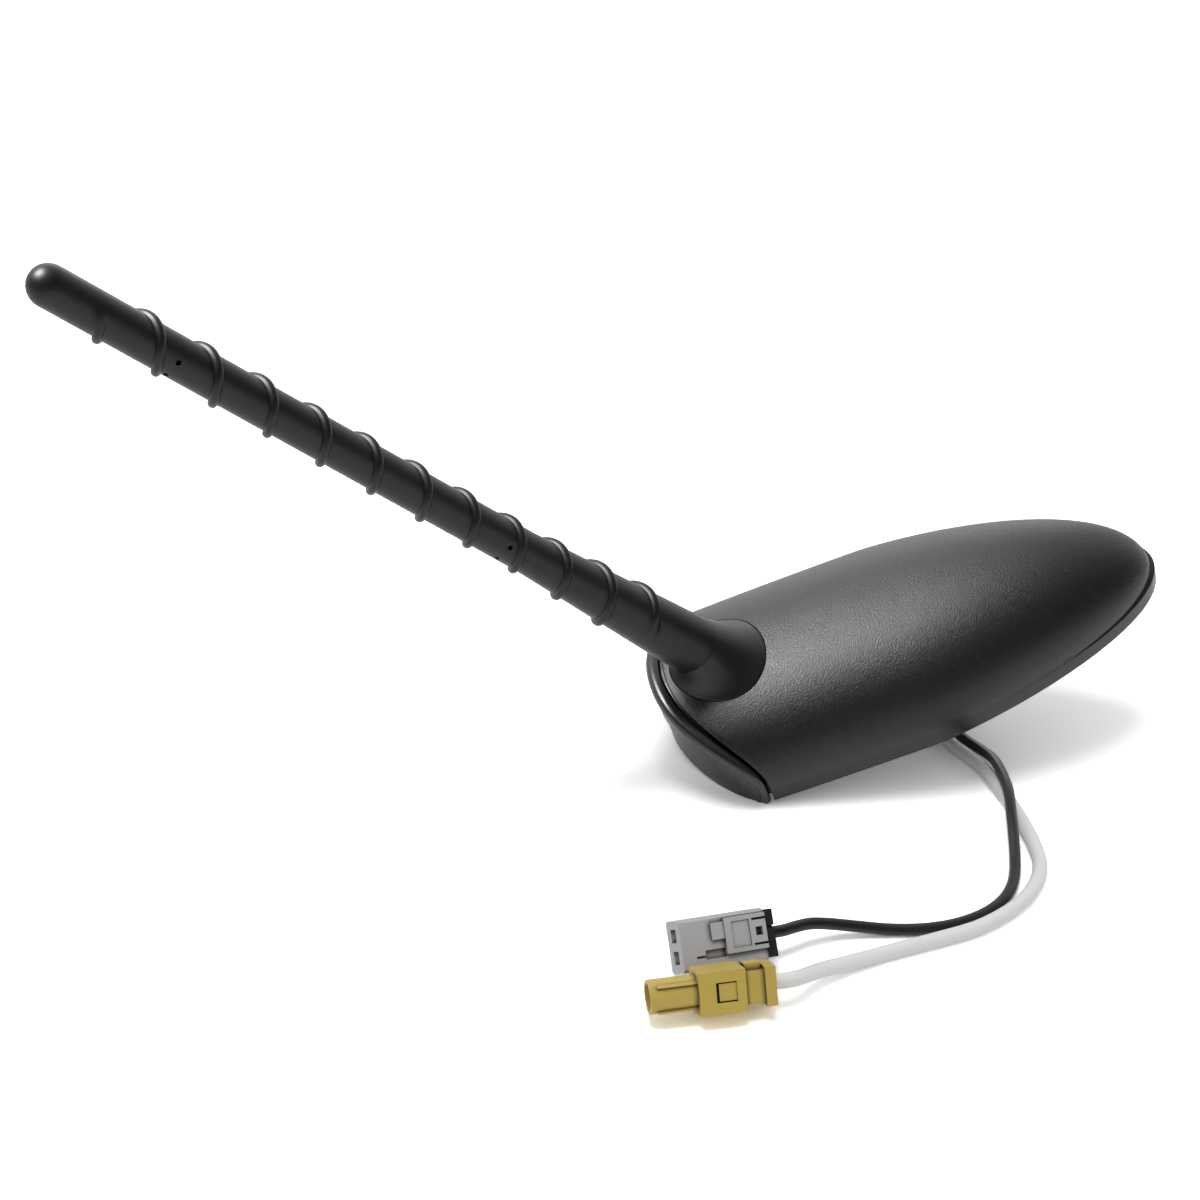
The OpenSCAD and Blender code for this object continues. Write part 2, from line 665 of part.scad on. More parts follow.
// The mast's skin: rows that follow the rib, closed by rings at the foot and a round tip
turn = 24;
rib_rows = [[-0.5, 0], [-0.34, 0.5], [-0.15, 0.96], [0.15, 0.96], [0.34, 0.5], [0.5, 0]];
rib_fade = 8;
tip_rings = 3;
rib_end = mast_l - rib_top;
function rod_r(s) =
    s < cone_l ? mast_foot_r + (rod_foot_r - mast_foot_r) * s / cone_l
               : rod_foot_r + (rod_tip_r - rod_foot_r) * min(1, (s - cone_l) / (mast_l - cone_l));
function rib_angle(i) = rib_turn - 360 * (rib_steps - i) / turn;
function rib_s(i) = rib_end - rib_pitch * (rib_steps - i) / turn;
function rib_fading(i) = sin(90 * min(1, i / rib_fade, (rib_steps - i) / rib_fade));
function rib_point(i, k) =
    let (s = rib_s(i) + rib_rows[k][0] * rib_w,
         r = rod_r(s) + rib_rows[k][1] * rib_h * rib_fading(i),
         a = rib_angle(i))
    [r * cos(a), r * sin(a), s];
function ring(r, s, a0) = [for (j = [0:turn - 1])
    let (a = a0 + 360 * j / turn) [r * cos(a), r * sin(a), s]];
module mast_skin() {
    rows = len(rib_rows);
    last = rib_steps;
    ribs = (last + 1) * rows;
    tip_ring = ribs + turn;
    pole = tip_ring + tip_rings * turn;
    points = concat(
        [for (i = [0:last]) for (k = [0:rows - 1]) rib_point(i, k)],
        ring(rod_r(0), 0, rib_angle(0)),
        [for (t = [0:tip_rings - 1]) let (a = 90 * t / tip_rings) each
            ring(rod_tip_r * cos(a), mast_l + rod_tip_r * sin(a), rib_angle(last))],
        [[0, 0, mast_l + rod_tip_r]]);
    function v(i, k) = i * rows + k;
    function foot(j) = ribs + j % turn;
    function top(t, j) = tip_ring + t * turn + j % turn;
    faces = concat(
        [for (i = [0:last - 1]) for (k = [0:rows - 2]) each [
            [v(i, k), v(i + 1, k), v(i + 1, k + 1)], [v(i, k), v(i + 1, k + 1), v(i, k + 1)]]],
        [for (i = [0:last - turn - 1]) each [
            [v(i, rows - 1), v(i + 1, rows - 1), v(i + turn + 1, 0)],
            [v(i, rows - 1), v(i + turn + 1, 0), v(i + turn, 0)]]],
        [for (j = [0:turn - 1]) [foot(j), foot(j + 1), v(j, 0)]],
        [for (j = [0:turn - 2]) [foot(j + 1), v(j + 1, 0), v(j, 0)]],
        [for (k = [0:rows - 2]) [v(turn - 1, 0), v(0, k), v(0, k + 1)]],
        [[v(turn - 1, 0), foot(0), v(0, 0)], [v(turn - 1, 0), v(0, rows - 1), v(turn, 0)]],
        [[for (j = [turn - 1:-1:0]) foot(j)]],
        [for (j = [0:turn - 1]) [top(0, j), v(last - turn + j + 1, rows - 1), top(0, j + 1)]],
        [for (j = [1:turn - 1]) [top(0, j), v(last - turn + j, rows - 1), v(last - turn + j + 1, rows - 1)]],
        [for (k = [0:rows - 2]) [v(last - turn + 1, rows - 1), v(last, k + 1), v(last, k)]],
        [[v(last - turn + 1, rows - 1), top(0, 0), v(last, rows - 1)],
         [v(last - turn + 1, rows - 1), v(last, 0), v(last - turn, rows - 1)]],
        [for (t = [0:tip_rings - 2]) for (j = [0:turn - 1]) each [
            [top(t, j), top(t, j + 1), top(t + 1, j + 1)], [top(t, j), top(t + 1, j + 1), top(t + 1, j)]]],
        [for (j = [0:turn - 1]) [top(tip_rings - 1, j), top(tip_rings - 1, j + 1), pole]]);
    polyhedron(points, [for (f = faces) [for (i = [len(f) - 1:-1:0]) f[i]]], convexity = 10);
}

core_tip = 3;
core_end = mast_l - core_tip;
wind_end = core_end - core_tip;
module mast_sleeve() {
    color([0.1, 0.1, 0.1]) along_mast(seam_s) difference() {
        mast_skin();
        translate([0, 0, -1]) cylinder(r = ferrule_r, h = ferrule_l + 1);
        cylinder(r = core_r + wind_t, h = wind_end);
        cylinder(r = core_r, h = core_end);
    }
}
module mast_ferrule() {
    color([0.72, 0.72, 0.74]) along_mast(seam_s) difference() {
        union() {
            cylinder(r = ferrule_r, h = ferrule_l);
            translate([0, 0, -spigot_l]) cylinder(r = spigot_r, h = spigot_l + 1);
        }
        translate([0, 0, ferrule_l - core_in]) cylinder(r = core_r, h = core_in + 1);
    }
}
module mast_core() {
    color([0.85, 0.83, 0.7]) along_mast(seam_s + ferrule_l - core_in)
        cylinder(r = core_r, h = core_end - ferrule_l + core_in);
}
module mast_winding() {
    color([0.75, 0.42, 0.22]) along_mast(seam_s + ferrule_l) difference() {
        cylinder(r = core_r + wind_t, h = wind_end - ferrule_l);
        translate([0, 0, -1]) cylinder(r = core_r, h = mast_l);
    }
}

// The bench: the base leans on it with a rear corner and the stud's end
bench_turn = [-16.6, 19.4, 0];
bench_at = [-53.13, -23.69, 0];
module on_bench() {
    translate(bench_at) rotate(bench_turn) children();
}
function turn_x(p, a) = [p[0], p[1] * cos(a) - p[2] * sin(a), p[1] * sin(a) + p[2] * cos(a)];
function turn_y(p, a) = [p[0] * cos(a) + p[2] * sin(a), p[1], -p[0] * sin(a) + p[2] * cos(a)];
function from_bench(p) = bench_at + turn_y(turn_x(p, bench_turn[0]), bench_turn[1]);
function to_bench(p) = turn_x(turn_y(p - bench_at, -bench_turn[1]), -bench_turn[0]);

// Places of the two plugs on the bench, and their turn: roll, pitch, yaw
grey_at = [-33.5, -65.4, 8.2];
grey_turn = [-36, 4.8, 7.9];
yellow_at = [-42.5, -77.5, 5.95];
yellow_turn = [-26.1, 0, -1.8];
plug_l = nose_tube_l + plug_body_l + plug_neck_l + plug_flange_t;
function turned(p, r) =
    let (q = turn_y(turn_x(p, r[0]), r[1]))
    [q[0] * cos(r[2]) - q[1] * sin(r[2]), q[0] * sin(r[2]) + q[1] * cos(r[2]), q[2]];
grey_rear = grey_at + turned([grey_l + clamp_t, 0, 0], grey_turn);
yellow_rear = yellow_at + turned([plug_l, 0, 0], yellow_turn);

// Straight run of each lead at the grommet and at its plug
black_straight = [1.6, 4];
white_straight = [1.4, 5];
// Routes of the leads over the bench, between the grommet and the plugs
black_route = [
    [57.6, 24.7, 9.2], [59, 24.4, 5.4], [60.2, 21.8, 2.5], [60.7, 17, 1.5], [61.3, 11, 1.5],
    [62.9, 6, 1.6], [64, 0, 2.4], [63.2, -7, 4], [61, -18.4, 5], [57.9, -28.2, 4.6],
    [55.2, -36.6, 3.2], [52.8, -43.4, 1.9], [49.7, -50, 1.4], [45.2, -55.7, 1.4], [38.8, -60, 1.4],
    [31.2, -62.2, 1.4], [23.5, -62.3, 1.4], [15.5, -60.8, 1.6], [7, -59.4, 3], [-1.5, -59.8, 5.2]];
white_route = [
    [53.8, 24.4, 8.8], [54.6, 23.7, 6.4], [55.4, 22, 4.4], [55.9, 19.7, 3.2], [56.7, 14.6, 1.9],
    [57.2, 8.4, 1.7], [59, 2.5, 1.7], [60.6, -4, 1.7], [61.2, -12, 1.7], [61.3, -20, 1.7],
    [61, -27.5, 1.7], [60.2, -35.7, 1.7], [58.4, -44.5, 1.7], [54.8, -51.5, 1.7], [49, -57.6, 1.7],
    [42, -62.1, 1.7], [34.5, -65.2, 1.7], [26, -66.9, 1.7], [16, -68.5, 1.7], [6, -70.6, 2],
    [-4, -74, 3.6]];

// Smooth run through hand-placed points, with one more ring between each two
function mid_point(p, i) =
    let (a = p[max(0, i - 1)], b = p[i], c = p[i + 1], d = p[min(len(p) - 1, i + 2)])
    (9 * (b + c) - a - d) / 16;
function smooth(p) = concat([for (i = [0:len(p) - 2]) each [p[i], mid_point(p, i)]], [p[len(p) - 1]]);
function unit(v) = v / norm(v);
function run_direction(p, i, first, last) =
    i == 0 ? first : i == len(p) - 1 ? last : unit(unit(p[i + 1] - p[i]) + unit(p[i] - p[i - 1]));
function carried(u, d) = unit(u - d * (u * d));
function all_axes(p, dirs, u, i = 0) =
    i == len(p) ? [] : let (n = carried(u, dirs[i])) concat([n], all_axes(p, dirs, n, i + 1));
sides = 8;
module lead(p, r, first, last) {
    dirs = [for (i = [0:len(p) - 1]) run_direction(p, i, first, last)];
    axes = all_axes(p, dirs, [1, 0, 0.01]);
    loops = [for (i = [0:len(p) - 1])
        let (u = axes[i], v = cross(dirs[i], u))
        [for (k = [0:sides - 1]) p[i] + r * (u * cos(360 * k / sides) + v * sin(360 * k / sides))]];
    stack(loops);
}
module black_lead() {
    start = to_bench([black_at[0], black_at[1], -grommet_l]);
    down = unit(to_bench([0, 0, -1]) - to_bench([0, 0, 0]));
    away = unit(turned([1, 0, 0], grey_turn));
    route = concat([start, start + down * black_straight[0]], black_route,
        [grey_rear + away * black_straight[1], grey_rear]);
    color([0.08, 0.08, 0.08]) on_bench() lead(smooth(route), black_r, down, -away);
}
module white_lead() {
    start = to_bench([white_at[0], white_at[1], -grommet_l]);
    down = unit(to_bench([0, 0, -1]) - to_bench([0, 0, 0]));
    away = unit(turned([1, 0, 0], yellow_turn));
    route = concat([start, start + down * white_straight[0]], white_route,
        [yellow_rear + away * white_straight[1], yellow_rear]);
    color([0.85, 0.85, 0.83]) on_bench() lead(smooth(route), white_r, down, -away);
}

module on_grey() {
    on_bench() translate(grey_at) rotate(grey_turn) children();
}
// Place of the retainer on the grey housing, from the mating face and from the top
retainer_x = 10;
retainer_top = 0.9;
retainer_h = 7.6;
retainer_in = 1;
chamber_z = 2.3;
grey_edge = 0.7;
// Raised tab in front of the retainer and foot under the housing
tab_l = 3;
tab_h = 3.6;
tab_out = 0.6;
tab_z = 0.4;
foot_l = 4.4;
foot_w = 2.4;
foot_out = 1;
// Slots in the near side: distance from the mating face, level, length, height and depth
grey_slots = [[5.3, -3.4, 4.7, 1.9, 0.8], [3.2, -3, 2.2, 0.5, 0.6]];
module grey_chambers(w, x0, x1) {
    for (z = [-chamber_z, chamber_z]) translate([x0, -w / 2, z - w / 2]) cube([x1 - x0, w, w]);
}
module grey_housing() {
    color([0.6, 0.6, 0.61]) on_grey() difference() {
        union() {
            rotate([90, 0, 90]) linear_extrude(grey_l) difference() {
                translate([-grey_w / 2, -grey_h / 2]) square([grey_w, grey_h]);
                for (y = [-1, 1]) for (z = [-1, 1]) translate([y * grey_w / 2, z * grey_h / 2]) rotate(45)
                    square(grey_edge * sqrt(2), center = true);
            }
            translate([retainer_x - tab_l, -grey_w / 2 - tab_out, tab_z]) cube([tab_l, 2 * tab_out, tab_h]);
            translate([retainer_x, -foot_w / 2, -grey_h / 2 - foot_out]) cube([foot_l, foot_w, 2 * foot_out]);
        }
        grey_chambers(chamber, -1, grey_l + 1);
        translate([retainer_x, -grey_w, grey_h / 2 - retainer_top - retainer_h])
            cube([grey_l, grey_w / 2 + retainer_in, retainer_h]);
        for (s = grey_slots) translate([s[0], -grey_w, s[1]]) cube([s[2], grey_w / 2 + s[4], s[3]]);
    }
}
// Sunk panel, spring latch and its square hole
panel_x = 1.6;
panel_l = 4.2;
panel_edge = 1;
panel_in = 0.2;
latch_w = 4.8;
latch_l = 3.2;
latch_cut = 0.5;
latch_in = 1;
hole_x = 2.5;
hole_l = 1.6;
hole_w = 1.8;
module grey_retainer() {
    l = grey_l - retainer_x;
    z0 = grey_h / 2 - retainer_top - retainer_h;
    color([0.66, 0.66, 0.67]) on_grey() translate([retainer_x, -grey_w / 2 - retainer_out, z0]) difference() {
        cube([l, retainer_out + retainer_in, retainer_h]);
        translate([panel_x, -1, panel_edge]) cube([panel_l, 1 + panel_in, retainer_h - 2 * panel_edge]);
        for (z = [(retainer_h - latch_w) / 2 - latch_cut, (retainer_h + latch_w) / 2])
            translate([l - latch_l, -1, z]) cube([latch_l + 1, 1 + latch_in, latch_cut]);
        translate([l - hole_x, -1, (retainer_h - hole_w) / 2])
            cube([hole_l, 2 + retainer_out + retainer_in, hole_w]);
    }
}
// Rims of the clamp plate on the near and the far side, and its groove
clamp_near = 0.4;
clamp_far = 0.2;
clamp_edge = 0.5;
groove_z = 1.2;
groove_h = 0.5;
groove_in = 0.6;
module grey_clamp() {
    color([0.08, 0.08, 0.08]) on_grey() difference() {
        translate([grey_l, -grey_w / 2 - clamp_near, clamp_edge - grey_h / 2])
            cube([clamp_t, grey_w + clamp_near + clamp_far, grey_h - 2 * clamp_edge]);
        translate([grey_l - 1, -grey_w, groove_z]) cube([clamp_t + 2, grey_w / 2 + groove_in, groove_h]);
    }
}
// Box contacts in the chambers: play, distance from the mating face, depth and wall of the socket
contact_play = 0.15;
contact_x = 2;
socket_l = 8;
socket_wall = 0.4;
module grey_contact(side) {
    w = chamber - 2 * contact_play;
    color([0.78, 0.7, 0.5]) on_grey() translate([contact_x, -w / 2, side * chamber_z - w / 2]) difference() {
        translate([0, 0, -contact_play]) cube([grey_l - contact_x, w, w]);
        translate([-1, socket_wall, socket_wall - contact_play])
            cube([socket_l + 1, w - 2 * socket_wall, w - 2 * socket_wall]);
    }
}
module grey_contact_1() { grey_contact(1); }
module grey_contact_2() { grey_contact(-1); }

module on_yellow() {
    on_bench() translate(yellow_at) rotate(yellow_turn) children();
}
// Keys on the nose: their turns around it, start, height and width
key_turns = [52, -38];
key_x = 1.5;
key_out = 0.5;
key_w = 0.7;
// Raised tab on the neck, and how far the end flange is smaller than the body
neck_tab_w = 3.6;
neck_tab_h = 1.4;
neck_tab_gap = 0.4;
flange_in = 0.3;
// Window in the near side of the body, with the tongue of the lock in it
window_x = 13.6;
window_l = 4.4;
window_h = 4.2;
window_in = 1.1;
tongue_play = 0.3;
tongue_in = 0.15;
module yellow_housing() {
    w = plug_body_w;
    body_x = nose_tube_l;
    neck_x = nose_tube_l + plug_body_l;
    flange_x = neck_x + plug_neck_l;
    color([0.65, 0.57, 0.26]) on_yellow() difference() {
        union() {
            rotate([0, 90, 0]) cylinder(r = nose_tube_r, h = nose_tube_l + 1);
            for (a = key_turns) rotate([a, 0, 0]) translate([key_x, -nose_tube_r - key_out, -key_w / 2])
                cube([nose_tube_l - key_x, key_out + key_w, key_w]);
            translate([body_x, -w / 2, -w / 2]) cube([plug_body_l, w, w]);
            translate([neck_x, -plug_neck_w / 2, -plug_neck_w / 2])
                cube([plug_neck_l, plug_neck_w, plug_neck_w]);
            translate([neck_x + neck_tab_gap, -neck_tab_w / 2, plug_neck_w / 2])
                cube([plug_neck_l - 2 * neck_tab_gap, neck_tab_w, neck_tab_h]);
            translate([flange_x, flange_in - w / 2, flange_in - w / 2])
                cube([plug_flange_t, w - 2 * flange_in, w - 2 * flange_in]);
        }
        translate([-1, 0, 0]) rotate([0, 90, 0]) cylinder(r = nose_bore_r, h = plug_l + 2);
        translate([window_x, -w, -window_h / 2]) cube([window_l, w / 2 + window_in, window_h]);
    }
}
module yellow_lock() {
    w = plug_body_w;
    color([0.7, 0.62, 0.3]) on_yellow()
        translate([window_x + 2 * tongue_play, tongue_in - w / 2, tongue_play - window_h / 2])
            cube([window_l - 2 * tongue_play, window_in - tongue_in, window_h - 2 * tongue_play]);
}
// Contacts of the plug: where they begin, wall of the sleeve, pin, insulator and crimped end
outer_x = 1.5;
contact_bore = 0.35;
pin_x = 2.5;
pin_r = 0.5;
insulator_x = 5.5;
insulator_l = 10;
crimp_l = 2.5;
crimp_x = plug_l - crimp_l;
module plug_outer_contact() {
    color([0.74, 0.66, 0.45]) on_yellow() translate([outer_x, 0, 0]) rotate([0, 90, 0]) difference() {
        cylinder(r = nose_bore_r, h = crimp_x - outer_x);
        translate([0, 0, -1]) cylinder(r = nose_bore_r - contact_bore, h = plug_l);
    }
}
module plug_insulator() {
    color([0.88, 0.88, 0.85]) on_yellow() translate([insulator_x, 0, 0]) rotate([0, 90, 0]) difference() {
        cylinder(r = nose_bore_r - contact_bore, h = insulator_l);
        translate([0, 0, -1]) cylinder(r = pin_r, h = insulator_l + 2);
    }
}
module plug_centre_pin() {
    color([0.8, 0.68, 0.35]) on_yellow() translate([pin_x, 0, 0]) rotate([0, 90, 0])
        cylinder(r = pin_r, h = insulator_x + insulator_l - pin_x);
}
module plug_crimp_ferrule() {
    color([0.72, 0.72, 0.73]) on_yellow() translate([insulator_x + insulator_l, 0, 0]) rotate([0, 90, 0])
        cylinder(r = nose_bore_r - contact_bore, h = crimp_x - insulator_x - insulator_l);
    color([0.72, 0.72, 0.73]) on_yellow() translate([crimp_x, 0, 0]) rotate([0, 90, 0])
        cylinder(r = nose_bore_r, h = crimp_l);
}

cover();
under_body();
mast_collar();
threaded_insert();
roof_seal();
base_plate();
threaded_stud();
cable_grommet();
circuit_board();
shield_can();
ceramic_patch();
patch_electrode();
mast_contact();
board_screw_1();
board_screw_2();
board_screw_3();
base_screw_1();
base_screw_2();
base_screw_3();
base_screw_4();
mast_sleeve();
mast_ferrule();
mast_core();
mast_winding();
inner_black_lead();
inner_white_lead();
black_lead();
white_lead();
grey_housing();
grey_retainer();
grey_clamp();
grey_contact_1();
grey_contact_2();
yellow_housing();
yellow_lock();
plug_outer_contact();
plug_insulator();
plug_centre_pin();
plug_crimp_ferrule();
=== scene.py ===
# %% [markdown]
# # A car's roof antenna, from its measured parts to a picture
# The antenna was first built as solid parts, each piece of plastic, rubber and metal by itself.
# This script loads those parts, gives every one its real finish, and builds finer skins where a
# coarse solid would show. The sizes below are in millimetres, as in the solid parts, and only the
# last step before Blender turns them into metres.

# %% Load the measured parts
import math
import bmesh
import bpy
from mathutils import Matrix, Vector


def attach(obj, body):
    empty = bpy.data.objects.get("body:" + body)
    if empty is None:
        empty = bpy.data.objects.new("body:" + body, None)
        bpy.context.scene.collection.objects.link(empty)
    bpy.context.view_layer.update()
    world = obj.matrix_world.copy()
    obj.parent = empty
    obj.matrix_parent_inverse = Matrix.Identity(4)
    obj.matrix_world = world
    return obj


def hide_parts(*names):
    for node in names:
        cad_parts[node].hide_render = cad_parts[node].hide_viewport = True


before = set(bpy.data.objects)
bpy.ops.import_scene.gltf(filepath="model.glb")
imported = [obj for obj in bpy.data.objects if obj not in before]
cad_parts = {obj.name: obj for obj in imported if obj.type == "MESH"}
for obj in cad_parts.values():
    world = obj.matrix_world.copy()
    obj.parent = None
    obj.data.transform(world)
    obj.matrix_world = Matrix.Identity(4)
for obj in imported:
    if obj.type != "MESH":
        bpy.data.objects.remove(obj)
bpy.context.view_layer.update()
MM, cad_finishes = 0.001, len(bpy.data.materials)
print("measured parts:", len(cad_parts))

# %% [markdown]
# ## The bench
# The antenna isn't on its roof here: it leans on a bench, on one rear corner and on the end of
# its hollow stud. The parts keep the directions of the roof, so it is the bench that is tilted.
# One matrix carries points from the bench into the parts' frame, for the floor, the leads, the
# plugs and the lamps alike.

# %% The bench in the frame of the parts
def turned(roll, pitch, yaw=0.0):
    """A turn by three angles in degrees: roll about x first, then pitch about y, then yaw about z."""
    about_x, about_y, about_z = (Matrix.Rotation(math.radians(angle), 4, axis)
                                 for angle, axis in ((roll, "X"), (pitch, "Y"), (yaw, "Z")))
    return about_z @ about_y @ about_x


bench = Matrix.Translation(Vector((-53.13, -23.69, 0)) * MM) @ turned(-16.6, 19.4)


def from_bench(point_mm):
    """A point given in millimetres on the bench, in metres in the frame of the parts."""
    return bench @ (Vector(point_mm) * MM)


print("the roof plane's origin is over the bench by, mm:", round(bench.inverted().translation.z / MM, 2))

# %% [markdown]
# ## The camera
# The picture was taken with a long lens, from about half a metre away and from above. Lens, place
# and directions were worked out from the straight edges and the known sizes of the object, so the
# camera is set from a matrix and not aimed by hand.

# %% Camera
def new_object(name, data):
    """An object of the scene with this camera, mesh or light."""
    made = bpy.data.objects.new(name, data)
    bpy.context.scene.collection.objects.link(made)
    return made


camera_right = Vector((0.9405, -0.2160, -0.2623))
camera_up = Vector((0.3371, 0.6902, 0.6403))
camera_at = Vector((-46.1, -352.9, 425.0)) * MM
camera_back = camera_right.cross(camera_up).normalized()
camera_up = camera_back.cross(camera_right).normalized()
camera_data = bpy.data.cameras.new("camera")
camera_data.lens = 66.42
camera_data.sensor_width = 36
camera_data.clip_start = 0.01
camera = new_object("camera", camera_data)
turn = Matrix((camera_right.normalized(), camera_up, camera_back)).transposed().to_4x4()
camera.matrix_world = Matrix.Translation(camera_at) @ turn
bpy.context.scene.camera = camera
print("camera distance to the stud, m:", round(camera_at.length, 3))

# %% [markdown]
# ## Colours and shader nodes
# Colours are written as the eye reads them, in sRGB hex, while Blender's shaders work in linear
# light, so one function turns the one into the other. A second small function adds a shader
# node with its settings and its links in one line, so that a material reads like a recipe.

# %% Colour and node helpers
def linear(hex_colour):
    """An sRGB hex colour as linear RGBA."""
    parts = [int(hex_colour[i:i + 2], 16) / 255 for i in (1, 3, 5)]
    return tuple(c / 12.92 if c <= 0.04045 else ((c + 0.055) / 1.055) ** 2.4 for c in parts) + (1.0,)


def add_node(tree, kind, settings=None, links=None):
    """Adds a node: settings are attributes or input values, links are inputs fed by other sockets."""
    made = tree.nodes.new("ShaderNode" + kind)
    for key, value in (settings or {}).items():
        if isinstance(key, str) and hasattr(made, key):
            setattr(made, key, value)
        else:
            made.inputs[key].default_value = value
    for key, socket in (links or {}).items():
        tree.links.new(socket, made.inputs[key])
    return made


def new_material(name):
    """An empty material with its tree, its output and the object's own coordinates, in metres."""
    made = bpy.data.materials.new(name)
    made.use_nodes = True
    tree = made.node_tree
    tree.nodes.clear()
    out = add_node(tree, "OutputMaterial")
    place = add_node(tree, "TexCoord")
    return made, tree, out, place.outputs["Object"]


def noise(tree, place, width_mm, detail, roughness=0.5):
    """Noise with bumps of this width: its scale is one over that width in metres."""
    settings = {"Scale": 1 / (width_mm * MM), "Detail": detail, "Roughness": roughness}
    return add_node(tree, "TexNoise", settings, {"Vector": place}).outputs["Fac"]


def blend(tree, share, settings, links=None):
    """A colour between socket 6 and socket 7, by a share."""
    return add_node(tree, "Mix", {"data_type": "RGBA", **settings}, {0: share, **(links or {})}).outputs[2]


def ranged(tree, value, settings):
    """A value carried from one range to another."""
    return add_node(tree, "MapRange", settings, {"Value": value}).outputs["Result"]


def give_skin(tree, out, depth_mm, relief, settings, links):
    """The last step of a recipe: the relief as bumps of this depth, under one Principled shader."""
    bump = add_node(tree, "Bump", {"Strength": 1.0, "Distance": depth_mm * MM}, relief)
    skin = add_node(tree, "BsdfPrincipled", settings, {"Normal": bump.outputs["Normal"], **links})
    tree.links.new(skin.outputs["BSDF"], out.inputs["Surface"])


print("black plastic in linear light:", [round(c, 4) for c in linear("#1C1C1D")[:3]])

# %% [markdown]
# ## How a moulded skin is painted
# Every plastic and rubber here is one colour all the way through. What the eye reads is the
# surface the steel mould left: a fine grain in the bumps, a slow change of gloss where hands
# touched it, and a slight cloudiness of the colour. In a narrow gap of a pale part the recipe can
# paint shade: it darkens the colour where an ambient occlusion node finds other surfaces near.

# %% A recipe for moulded plastic and rubber
patch_mm, smear_mm, gloss_change, painted_shade_power = 14, 3.5, 0.02, 2.2


def moulded(name, colour, roughness, grain_mm, grain_depth_mm, cloud=0.12, ior=1.5, gleam=0.5,
            painted_shade_mm=0.0):
    """Plastic or rubber straight from the mould. grain_mm is the width of one bump; the last argument is how
    far painted shade reaches into narrow gaps.
    """
    made, tree, out, place = new_material(name)
    grain = noise(tree, place, grain_mm, 3.0, 0.6)
    patches, smears = noise(tree, place, patch_mm, 4.0), noise(tree, place, smear_mm, 2.0)
    base = linear(colour)[:3]
    darker = tuple(c * (1 - cloud) for c in base) + (1.0,)
    lighter = tuple(min(1.0, c * (1 + cloud)) for c in base) + (1.0,)
    tint = blend(tree, patches, {6: darker, 7: lighter})
    # painted shade: in a narrow gap the colour goes towards near black, by the ambient occlusion
    if painted_shade_mm:
        gap = add_node(tree, "AmbientOcclusion", {"Distance": painted_shade_mm * MM}).outputs["AO"]
        openness = add_node(tree, "Math", {"operation": "POWER", 1: painted_shade_power}, {0: gap})
        tint = blend(tree, openness.outputs["Value"], {6: linear("#141210")}, {7: tint})
    gloss = ranged(tree, smears, {"From Min": 0.35, "From Max": 0.65, "To Min": roughness - gloss_change,
                                  "To Max": roughness + gloss_change})
    give_skin(tree, out, grain_depth_mm, {"Height": grain}, {"IOR": ior, "Specular IOR Level": gleam},
              {"Base Color": tint, "Roughness": gloss})
    return made


# %% [markdown]
# ## The plastics and rubbers of this object
# Skirt, collar and tail come from polished steel and look like satin. The mast is an elastomer
# over a glass-fibre rod: a dull black with only a narrow highlight on its rib. Lead jackets are
# PVC, extruded, so they are smooth along their length. The grey and black connector parts are
# glass-filled PBT, which looks dull and faintly mottled, and the yellow plug is the same resin in
# the curry colour that is used for radio aerials.

# %% Plastic and rubber materials
skirt_satin = moulded("PC-ABS polished mould black", "#171718", 0.3, 0.25, 0.004, cloud=0.06)
tail_satin = moulded("ABS satin black", "#1A1A1C", 0.33, 0.3, 0.006, cloud=0.06, gleam=0.7)
collar_satin = moulded("polyamide satin black", "#151516", 0.36, 0.3, 0.006, cloud=0.06)
mast_elastomer = moulded("thermoplastic elastomer matte black", "#131314", 0.4, 0.3, 0.01, cloud=0.08,
                         gleam=0.42)
seal_rubber = moulded("EPDM rubber pressed black", "#1E1E1F", 0.7, 0.35, 0.03, cloud=0.15)
black_jacket = moulded("PVC jacket extruded black", "#19191A", 0.38, 0.4, 0.01, cloud=0.08)
white_jacket = moulded("PVC jacket extruded white", "#F0F0EE", 0.42, 0.4, 0.01, cloud=0.02)
# the grey and yellow parts get painted shade, 1.2 mm deep, in their slots and gaps
grey_pbt = moulded("PBT glass-filled grey", "#BABABE", 0.45, 0.28, 0.012, cloud=0.06, painted_shade_mm=1.2)
black_pbt = moulded("PBT glass-filled black", "#1B1B1C", 0.5, 0.28, 0.012, cloud=0.1)
yellow_pbt = moulded("PBT glass-filled curry yellow", "#CDB254", 0.42, 0.28, 0.012, cloud=0.06,
                     painted_shade_mm=1.2)
ptfe_white = moulded("PTFE turned white", "#E6E6E1", 0.55, 0.3, 0.004, cloud=0.02, ior=1.35)
fibre_rod = moulded("glass fibre in epoxy pultruded", "#C9C39A", 0.35, 0.2, 0.006, cloud=0.08)
print("plastics and rubbers:", len(bpy.data.materials) - cad_finishes)

# %% [markdown]
# ## The grain of the shell
# The shell is a PC/ABS blend out of a spark-eroded mould. Each spark left a small crater in the
# steel, so the plastic carries a fine pebbled grain: in the broad highlight it breaks up into
# bright and dark specks, and away from the light it looks like matt black. The real grain is
# about 0.3 mm wide, almost too fine to show from here, so it is drawn 0.36 mm wide. Towards the
# skirt the mould was polished, so the grain fades out with the height over the roof.

